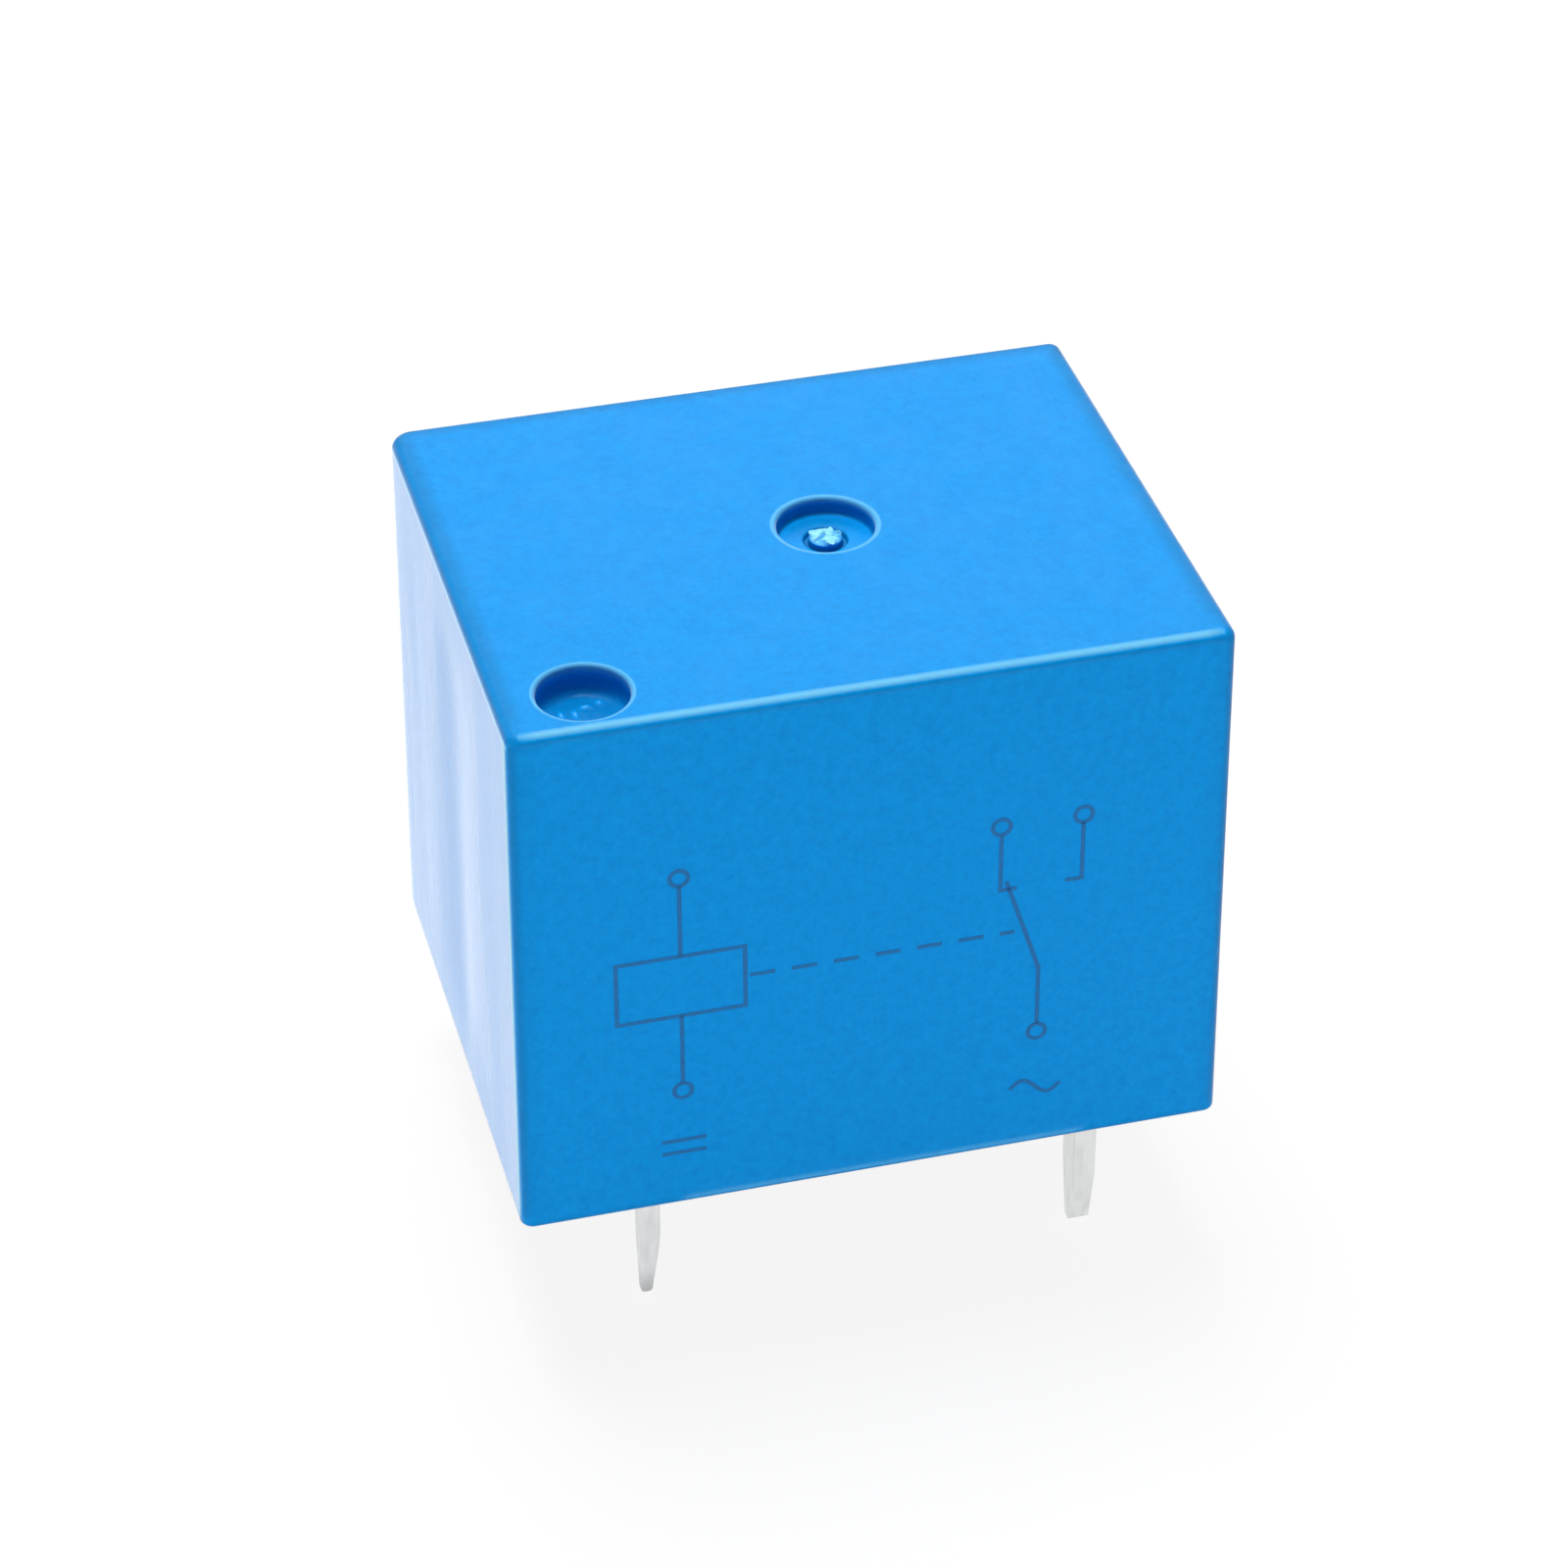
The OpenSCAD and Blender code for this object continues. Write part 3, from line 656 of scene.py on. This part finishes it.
def case_outside(bm):
    """Rings up the leaning walls and over the round edges, to the border of the flat top."""
    rings = []
    for inset, z, turn in case_sides():
        size = HALF_L - inset, HALF_W - inset, corner_radii(inset, z)
        points = outline(*size, **CASE_STEPS)
        pale = [edge_painted_light(x, y, z, turn, corner_turn(x, y, *size)) for x, y in points]
        rings.append(ring(bm, [sunk(x, y, z) for x, y in points], pale))
    rings.append(ring(bm, flat_border(points)))
    bridge(bm, rings)
    return rings


def recess_rings(bm, x, y, profile, uneven):
    """Rings of a round recess in the top, from the radius and depth of each.

    The function uneven says, for a radius and a place in the recess, how far it moves and how pale it is.
    """
    made = []
    for r, depth in profile:
        points, pale = [], []
        for px, py in circle(0, 0, r, RECESS_STEPS):
            shift, light = uneven(r, px, py)
            points.append(Vector((x + px, y + py, CASE_H - depth)) + Vector(shift))
            pale.append(light)
        made.append(ring(bm, points, pale))
    bridge(bm, made[:MOUTH_RINGS])
    bridge(bm, made[MOUTH_RINGS - 1:], finish=1)
    bm.faces.new(made[-1]).material_index = 1
    return made


def mouth(r, depth, foot_r, band):
    """Radius and depth from the flat round a recess, over its round lip and down its wall to the floor."""
    band_r = r + LIP_R + band
    flat = [(band_r + SUPPORT, 0), (band_r, 0)]
    lip = [(r + LIP_R * (1 - math.sin(a)), LIP_R * (1 - math.cos(a))) for a in quarter(LIP_STEPS)]
    wall = [(r - WELL_TAPER / 2, 0.5 * depth), (r - WELL_TAPER, depth - foot_r)]
    foot = [(r - WELL_TAPER - foot_r * (1 - math.cos(a)), depth - foot_r * (1 - math.sin(a)))
            for a in quarter(FOOT_STEPS, first=1)]
    return flat + lip + wall + foot


def well_painted_light(r, mouth_r, band):
    """Painted highlight on the lip of a recess and on a band round it, and painted shade on its inside."""
    if r < mouth_r:
        return WELL_SHADE
    return LIP_HIGHLIGHT if r < mouth_r + LIP_R + band + SUPPORT / 2 else 0.0


def gate_rings(bm):
    """Recess with the torn stub where the runner broke off, in a ring groove with painted shade."""
    floor_r = GATE_R - WELL_TAPER - GATE_FOOT_R
    stub_top = GATE_DEPTH - 0.6 * STUB_H
    flat = [(r, GATE_DEPTH) for r in (1.0, 0.8, GROOVE_R + 0.05)] + [(GROOVE_R, GATE_DEPTH + 0.03)]
    groove = [(r, GATE_DEPTH + GROOVE_DEPTH) for r in (GROOVE_R - 0.03, STUB_R + 0.02)]
    side = [
        (STUB_R, GATE_DEPTH + 0.05),
        (STUB_R - 0.01, GATE_DEPTH - 0.3 * STUB_H),
        (STUB_R - 0.05, stub_top),
    ]
    top = [(STUB_R * k / 16, stub_top) for k in range(13, 0, -1)]

    def torn(r, x, y):
        if r > floor_r + SUPPORT / 2:
            return (0, 0, 0), well_painted_light(r, GATE_R, GATE_BAND)
        # Painted shade on the floor, growing towards the back, with a lighter painted line along the foot of
        # the wall
        if r > GROOVE_R:
            foot_highlight = -WELL_SHADE * smooth_step(r, 1.05, floor_r)
            return (0, 0, 0), (WELL_SHADE + foot_highlight) * smooth_step(y, -0.2, 0.9)
        # Painted shade in the groove
        if r > STUB_R - SUPPORT / 4:
            return (0, 0, 0), GROOVE_SHADE
        turn = math.atan2(y, x)
        ragged = sum(high * math.sin(count * turn + start) for count, high, start in STUB_WAVES) - STUB_SHRINK
        pit = smooth_step(noise.noise(Vector((x, y, 2.6)) * STUB_GRAIN), 0.08, 0.38)
        lift = 0.05 * noise.noise(Vector((x, y, 0)) * STUB_GRAIN) - 0.05 * pit
        rising = smooth_step(STUB_R - r, 0.0, 0.05)
        return (x * ragged * rising, y * ragged * rising, lift * rising), rising * (1 - 0.75 * pit)

    profile = mouth(GATE_R, GATE_DEPTH, GATE_FOOT_R, GATE_BAND) + flat + groove + side + top
    return recess_rings(bm, GATE_X, 0, profile, torn)


def vent_rings(bm):
    """Well of the vent, with painted shade inside and a few shreds of flash on its floor that carry painted
    highlights.
    """
    depth = VENT_DEPTH - VENT_FILL
    flat = [(0.05 * k, depth) for k in range(17, 0, -1)]

    def shredded(r, x, y):
        if r > VENT_R - WELL_TAPER - VENT_FOOT_R:
            return (0, 0, 0), well_painted_light(r, VENT_R, VENT_BAND)
        # Painted shade on the floor, darker than in the gate, and painted highlights on the shreds
        heap = sum(bell(x, cx, w) * bell(y, cy, h) for cx, cy, w, h in VENT_SHREDS)
        rough = 0.02 * noise.noise(Vector((x, y, 0)) * 5.0)
        return (0, 0, 0.03 * heap + rough), min(LIP_HIGHLIGHT, 1.4 * WELL_SHADE + 0.8 * heap)

    profile = mouth(VENT_R, depth, VENT_FOOT_R, VENT_BAND) + flat
    return recess_rings(bm, VENT_X, VENT_Y, profile, shredded)


def case_inside(bm, rim):
    """The hollow of the case, from its ceiling, with the boss under the vent, down to the rim."""
    ceiling_z = CASE_H - TOP_WALL
    walls = []
    for z in (ceiling_z, ceiling_z - 0.2, 0.6 * ceiling_z, 0.3 * ceiling_z, 1.0, 0.0):
        half_x, half_y = HALF_L - WALL - LEAN * z, HALF_W - WALL - LEAN * z
        walls.append(ring(bm, [(x, y, z) for x, y in outline(half_x, half_y, WALL_CORNERS, **CASE_STEPS)]))
    bridge(bm, walls + [rim])

    boss_r, boss_z = VENT_R + VENT_WALL, CASE_H - VENT_DEPTH - VENT_WALL
    within = WALL + LEAN * ceiling_z + SUPPORT
    section = [(max(x, within - HALF_L), max(y, within - HALF_W))
               for x, y in circle(VENT_X, VENT_Y, boss_r, BOSS_STEPS)]
    boss = [ring(bm, [(x, y, z) for x, y in section]) for z in (ceiling_z, boss_z)]
    bridge(bm, boss)
    bm.faces.new(boss[1])
    fill_flat(bm, [walls[0], boss[0]], up=-1)


def case_shell(outside_finish, well_finish):
    """The blue cover: leaning walls with sink marks, round edges, two recesses, and its hollow inside."""
    bm = new_bmesh()
    outside = case_outside(bm)
    gate, vent = gate_rings(bm), vent_rings(bm)
    fill_flat(bm, [outside[-1], gate[0], vent[0]], up=1)
    case_inside(bm, outside[0])
    return mesh_object(bm, "case_shell", outside_finish, well_finish)


# Front marking: a plain circuit sign of a coil and a changeover contact

def coil_sign(x, z, wide, high, dots):
    """The box of the coil, with a lead from it to the dot above and the dot below."""
    left, right, under, over = x - wide / 2, x + wide / 2, z - high / 2, z + high / 2
    box = [(left, under), (right, under), (right, over), (left, over), (left, under)]
    return [box, [(x, over), (x, dots[0])], [(x, under), (x, dots[1])]]


def marking_lines():
    """Strokes on the front face as lists of X and Z; a stroke that ends where it starts is closed."""
    coil_x, coil_z, coil_w, coil_h = -5.2, 7.2, 3.4, 1.9
    arm_x, closed_x, open_x, meet_z, arm_z, tab = 4.4, 3.3, 5.5, 8.6, 5.9, 0.45
    top_z, low_z, dot_r = 10.6, 3.8, 0.24
    dashes, dash_share, dash_gap = 7, 0.6, 0.12
    sign_z, bars_apart, sign_half, wave_half, wave_h = 1.95, 0.4, 0.6, 0.7, 0.24
    dot_under, dot_over = top_z - dot_r, low_z + dot_r

    lines = coil_sign(coil_x, coil_z, coil_w, coil_h, (dot_under, dot_over))
    lines += [
        [(arm_x, dot_over), (arm_x, arm_z), (closed_x + 0.16, meet_z + 0.25)],
        [(closed_x, dot_under), (closed_x, meet_z), (closed_x + tab, meet_z)],
        [(open_x, dot_under), (open_x, meet_z), (open_x - tab, meet_z)],
    ]
    for x, z in ((coil_x, top_z), (coil_x, low_z), (arm_x, low_z), (closed_x, top_z), (open_x, top_z)):
        dot = circle(x, z, dot_r, CURVE_STEPS)
        lines.append(dot + dot[:1])

    right = coil_x + coil_w / 2
    link_end = arm_x + (closed_x - arm_x) * (coil_z - arm_z) / (meet_z - arm_z)
    pitch = (link_end - right) / (dashes - 1 + dash_share)
    for i in range(dashes):
        start = right + dash_gap + i * pitch
        lines.append([(start, coil_z), (min(start + dash_share * pitch, link_end - 0.15), coil_z)])

    for z in (sign_z - bars_apart / 2, sign_z + bars_apart / 2):
        lines.append([(coil_x - sign_half, z), (coil_x + sign_half, z)])
    wave = []
    for i in range(CURVE_STEPS + 1):
        share = i / CURVE_STEPS
        wave.append((arm_x + wave_half * (2 * share - 1), sign_z + wave_h * math.sin(2 * math.pi * share)))
    return lines + [wave]


def front_y(z):
    """Front face of the case at a height."""
    return DRAFT * (z - RIM_BEVEL) / (SHOULDER_Z - RIM_BEVEL) - HALF_W


def stroke(bm, line):
    """A flat ribbon with mitred corners, a hair proud of the front face."""
    closed = (Vector(line[0]) - Vector(line[-1])).length < NEARLY
    points = [Vector(p) for p in (line[:-1] if closed else line)]
    count = len(points)
    sections = []
    for i, p in enumerate(points):
        before = points[i - 1] if closed or i else p - (points[1] - p)
        after = points[(i + 1) % count] if closed or i < count - 1 else p + (p - points[i - 1])
        a, b = (p - before).normalized(), (after - p).normalized()
        across = Vector((-(a.y + b.y), a.x + b.x)).normalized()
        reach = LINE_W / 2 / max(MITRE_LIMIT, across.dot(Vector((-a.y, a.x))))
        low, high = p - across * reach, p + across * reach
        sections.append(ring(bm, [
            (low.x, front_y(low.y) + LINE_SUNK, low.y), (low.x, front_y(low.y) - LINE_UP, low.y),
            (high.x, front_y(high.y) - LINE_UP, high.y), (high.x, front_y(high.y) + LINE_SUNK, high.y)]))
    bridge(bm, sections + sections[:1] if closed else sections)
    if not closed:
        bm.faces.new(sections[0])
        bm.faces.new(sections[-1][::-1])


def front_marking(material):
    """All strokes of the circuit sign as one piece."""
    bm = new_bmesh()
    for line in marking_lines():
        stroke(bm, line)
    return mesh_object(bm, "front_marking", material)


# Underside

def pin_sections():
    """Middle, half length and half width of each pin where it passes the resin."""
    found = []
    for node in PINS:
        low, high = box_mm(node)
        if node.startswith("coil"):
            half = (high - low) / 2
            found.append(((low.x + high.x) / 2, (low.y + high.y) / 2, half.x, half.y))
        elif node == "common_terminal":
            found.append(((low.x + high.x) / 2, 0, (high.x - low.x) / 2, BLADE_W / 2))
        else:
            row_y = math.copysign(PIN_ROW_Y, low.y + high.y)
            found.append((low.x + BLADE_T / 2, row_y, BLADE_T / 2, BLADE_W / 2))
    return found


def resin_fill(material):
    """Cast resin in the moat, drawn up along the walls, the pad and the pins."""
    low, high = box_mm("base_seal")
    pins = pin_sections()
    wall = outline(high.x, high.y, WALL_CORNERS, **RESIN_STEPS)
    pad_x, pad_half = (PAD_X0 + PAD_X1) / 2, (PAD_X1 - PAD_X0) / 2 + PAD_GAP
    pad = outline(pad_half, PAD_HALF_W + PAD_GAP, PAD_CORNERS, centre_x=pad_x, **RESIN_STEPS)

    def surface(x, y, from_pad, from_wall):
        z = low.z
        for apart, (height, reach) in ((from_pad, PAD_RISE), (from_wall, WALL_RISE)):
            z -= height * math.exp(-apart / reach)
        for px, py, half_x, half_y in pins:
            apart = math.hypot(max(abs(x - px) - half_x, 0), max(abs(y - py) - half_y, 0))
            z -= PIN_RISE[0] * bell(apart, 0, PIN_RISE[1])
        z += 0.03 * noise.noise(Vector((x, y, 0)) * 0.6) + 0.01 * noise.noise(Vector((x, y, 2)) * 2.0)
        return max(z, RESIN_MIN_Z)

    bm = new_bmesh()
    face = []
    for k in range(RESIN_LAYERS + 1):
        t = 0.5 - 0.5 * math.cos(math.pi * k / RESIN_LAYERS)
        points = []
        for a, b in zip(pad, wall):
            start, end = Vector(a), Vector(b)
            p = start.lerp(end, t)
            points.append((p.x, p.y, surface(p.x, p.y, (p - start).length, (p - end).length)))
        face.append(ring(bm, points))
    back = [ring(bm, [(x, y, high.z) for x, y in points]) for points in (wall, pad)]
    bridge(bm, face + back + face[:1])
    return mesh_object(bm, "resin_fill", material, sharp_deg=60)


def coil_pin(name, node, lean, material):
    """Square coil pin with soft edges, a long taper that may lean along X, and a round tip.

    Its sides are a little uneven, as dipping leaves them.
    """
    low, high = box_mm(node)
    middle_x, y = (low.x + high.x) / 2, (low.y + high.y) / 2
    half = (high.x - low.x) / 2
    neck_z, tip_z = high.z - PIN_TOP_H, low.z + TIP_H
    levels = [high.z]
    levels += [neck_z + (tip_z - neck_z) * i / SHANK_STEPS for i in range(SHANK_STEPS + 1)]
    levels += [tip_z - (TIP_H - TIP_ROUND) * i / TIP_STEPS for i in range(1, TIP_STEPS + 1)]
    bm = new_bmesh()

    def section(x, z, w, soft, tip_dark):
        points = outline(w, w, (soft * w,) * 4, corner_steps=4, side_steps=(3, 3))
        return ring(bm, [(x + px, y + py, z) for px, py in points], tip_dark)

    rings = []
    for z in levels:
        taper = smooth_step(-z, TAPER_FROM, TAPER_PAST - low.z)
        x = middle_x + lean * taper
        w = half + (TIP_W / 2 - half) * taper
        w *= 1 - PIN_UNEVEN * (0.5 + 0.5 * noise.noise(Vector((middle_x, y, 1.7 * z))))
        if z == high.z:
            w -= PIN_TOP_IN
        tip_dark = PIN_TIP_DARK * smooth_step(-z, TIP_DARK_FROM, -low.z)
        rings.append(section(x, z, w, SHANK_SOFT, tip_dark))
    for turn in TIP_TURNS:
        a = math.radians(turn)
        rings.append(section(x, low.z + TIP_ROUND * (1 - math.sin(a)), w * math.cos(a), TIP_SOFT, tip_dark))
    bridge(bm, rings)
    bm.faces.new(rings[0])
    bm.faces.new(rings[-1])
    return mesh_object(bm, name, material, sharp_deg=50)


# Pieces that follow their solids

def soften(node, material):
    """Gives a CAD node a finish, and rounds its sharp edges with modifiers."""
    piece = frame["nodes"][node]
    piece.data.materials.clear()
    piece.data.materials.append(material)
    weld = piece.modifiers.new("weld", "WELD")
    weld.merge_threshold = MERGE * MM
    merge = piece.modifiers.new("flat_faces", "DECIMATE")
    merge.decimate_type = "DISSOLVE"
    merge.angle_limit = math.radians(FLAT_DEG)
    bevel = piece.modifiers.new("edges", "BEVEL")
    bevel.width = SOFT_EDGE * MM
    bevel.segments = 2
    bevel.limit_method = "ANGLE"
    bevel.angle_limit = math.radians(SHARP_DEG)
    normals = piece.modifiers.new("normals", "WEIGHTED_NORMAL")
    normals.keep_sharp = False


def changeover_spring(material):
    """The contact spring as a strip that bends between the yoke and the armature."""
    node = frame["nodes"]["contact_spring"]
    bm = bmesh.new()
    bm.from_mesh(node.data)
    bmesh.ops.remove_doubles(bm, verts=bm.verts, dist=MERGE * MM)
    return mesh_object(bm, "changeover_spring", material, sharp_deg=30)


# Stage

def floor_material():
    """Pale floor: white to the camera and to what is glossy, with the shadow kept, and clear from below."""
    material = bpy.data.materials.new("pale_floor")
    material.use_nodes = True
    tree = material.node_tree
    tree.nodes.clear()

    def add(kind, **values):
        made = tree.nodes.new(kind)
        for key, value in values.items():
            made.inputs[key].default_value = value
        return made

    plain = add("ShaderNodeBsdfDiffuse", Color=(0.8, 0.8, 0.8, 1))
    shaded = add("ShaderNodeBsdfDiffuse", Color=(0.12, 0.12, 0.12, 1))
    white = add("ShaderNodeEmission", Strength=0.89)
    seen = add("ShaderNodeAddShader")
    path = add("ShaderNodeLightPath")
    either = add("ShaderNodeMath")
    either.operation = "MAXIMUM"
    choose = add("ShaderNodeMixShader")
    under = add("ShaderNodeNewGeometry")
    clear = add("ShaderNodeBsdfTransparent")
    sides = add("ShaderNodeMixShader")
    out = add("ShaderNodeOutputMaterial")
    for a, b in (
        (shaded.outputs[0], seen.inputs[0]),
        (white.outputs[0], seen.inputs[1]),
        (path.outputs["Is Camera Ray"], either.inputs[0]),
        (path.outputs["Is Glossy Ray"], either.inputs[1]),
        (either.outputs[0], choose.inputs[0]),
        (plain.outputs[0], choose.inputs[1]),
        (seen.outputs[0], choose.inputs[2]),
        (under.outputs["Backfacing"], sides.inputs[0]),
        (choose.outputs[0], sides.inputs[1]),
        (clear.outputs[0], sides.inputs[2]),
        (sides.outputs[0], out.inputs[0]),
    ):
        tree.links.new(a, b)
    return material


def floor(z, reach):
    """A square of floor at a height, reaching that far each way, in metres."""
    mesh = bpy.data.meshes.new("floor")
    corners = [(-reach, -reach, z), (reach, -reach, z), (reach, reach, z), (-reach, reach, z)]
    mesh.from_pydata(corners, [], [(0, 1, 2, 3)])
    mesh.materials.append(floor_material())
    piece = bpy.data.objects.new("floor", mesh)
    bpy.context.scene.collection.objects.link(piece)


def world(level, mirrored):
    """Even light all round, with its own level in mirror images, and white where the camera sees it."""
    made = bpy.data.worlds.new("studio")
    made.use_nodes = True
    tree = made.node_tree
    back = tree.nodes["Background"]
    back.inputs["Color"].default_value = (1, 1, 1, 1)
    path = tree.nodes.new("ShaderNodeLightPath")
    last = None
    for ray, low, high in (("Is Glossy Ray", level, mirrored), ("Is Camera Ray", None, 1.0)):
        chosen = tree.nodes.new("ShaderNodeMapRange")
        tree.links.new(path.outputs[ray], chosen.inputs["Value"])
        chosen.inputs["To Max"].default_value = high
        if last:
            tree.links.new(last, chosen.inputs["To Min"])
        else:
            chosen.inputs["To Min"].default_value = low
        last = chosen.outputs["Result"]
    tree.links.new(last, back.inputs["Strength"])
    bpy.context.scene.world = made


def lamp(name, direction, distance, width, height, level):
    """A soft lamp that looks at the case from a direction; level 1 would light a white face to white."""
    data = bpy.data.lights.new(name, "AREA")
    data.shape = "RECTANGLE"
    data.size, data.size_y = width, height
    data.energy = level * math.pi * math.pi * distance ** 2
    piece = bpy.data.objects.new(name, data)
    bpy.context.scene.collection.objects.link(piece)
    away = Vector(direction).normalized()
    piece.location = Vector((0, 0, CASE_H / 2 * MM)) + away * distance
    piece.rotation_euler = (-away).to_track_quat("-Z", "Y").to_euler()
    piece.visible_camera = False


def camera():
    """A camera at the photograph's place, looking along its fitted direction."""
    a, e, roll = (math.radians(v) for v in (CAMERA_AZIMUTH, CAMERA_ELEVATION, CAMERA_ROLL))
    back = Vector((math.sin(a) * math.cos(e), -math.cos(a) * math.cos(e), math.sin(e)))
    level = Vector((math.cos(a), math.sin(a), 0))
    upright = back.cross(level)
    right = math.cos(roll) * level + math.sin(roll) * upright
    up = math.cos(roll) * upright - math.sin(roll) * level
    turn = Matrix((right, up, back)).transposed()
    data = bpy.data.cameras.new("camera")
    data.sensor_width = SENSOR_MM
    data.lens = FOCAL_PX / IMAGE_SIDE * SENSOR_MM
    data.clip_start, data.clip_end = 0.005, 5
    piece = bpy.data.objects.new("camera", data)
    bpy.context.scene.collection.objects.link(piece)
    place = turn @ Vector((-CAMERA_OFFSET[0], -CAMERA_OFFSET[1], CAMERA_DISTANCE)) * MM
    piece.matrix_world = Matrix.Translation(place) @ turn.to_4x4()
    bpy.context.scene.camera = piece


# The dressed part

def on_case(piece, slot, *nodes):
    """A piece that rides on the case and stands for CAD nodes, which it hides; slot is not used."""
    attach(piece, "case")
    if nodes:
        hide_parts(*nodes)


def dress():
    """Builds every piece and gives every node its finish."""
    blue, well_blue = case_plastic("case_plastic", sheen=1.0), case_plastic("well_plastic", sheen=0.0)
    on_case(case_shell(blue, well_blue), "case_plastic", "cover")
    on_case(front_marking(marking_ink()), "case_plastic")
    on_case(resin_fill(sealing_resin()), "sealing_resin", "base_seal")
    pin_tin = tinned("tinned_pin", (0.78, 0.80, 0.81))
    for name, lean in (("front", -0.1), ("rear", 0.0)):
        node = f"coil_terminal_{name}"
        on_case(coil_pin(f"coil_pin_{name}", node, lean, pin_tin), "tinned_pin", node)

    blade_tin = tinned("tinned_blade", (0.80, 0.81, 0.81))
    iron, brass, silver = plated_iron(), upset_brass(), contact_silver()
    finishes = {
        "base": base_plastic(),
        "bobbin": bobbin_plastic(),
        "coil_winding": enamelled_wire(),
        "coil_solder": solder(),
        "core": iron,
        "yoke": iron,
        "armature": iron,
        "yoke_rivets": brass,
        "armature_rivets": brass,
        "common_terminal": blade_tin,
        "normally_open_terminal": blade_tin,
        "normally_closed_terminal": blade_tin,
        "moving_contact": silver,
        "normally_open_contact": silver,
        "normally_closed_contact": silver,
    }
    for node, finish in finishes.items():
        soften(node, finish)

    spring = changeover_spring(rolled_strip())
    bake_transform(spring, "case", "armature", start=(-7.5 * MM, 0, 8 * MM), end=(-7.5 * MM, 0, 12 * MM))
    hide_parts("contact_spring")


dress()
floor(cad_box[0].z, reach=0.8)
world(level=0.12, mirrored=0.35)
lamp("overhead", (-0.05, 0.25, 1.0), distance=0.3, width=0.12, height=0.12, level=0.9)
lamp("backdrop", (0.2, 0.79, 0.58), distance=0.35, width=0.34, height=0.22, level=0.36)
lamp("front_fill", (0.1, -1.0, 0.0), distance=0.2, width=0.2, height=0.024, level=0.38)
lamp("left_fill", (-1.0, 0.0, 0.0), distance=0.2, width=0.2, height=0.024, level=0.30)
camera()
bpy.context.scene.view_settings.view_transform = "Standard"
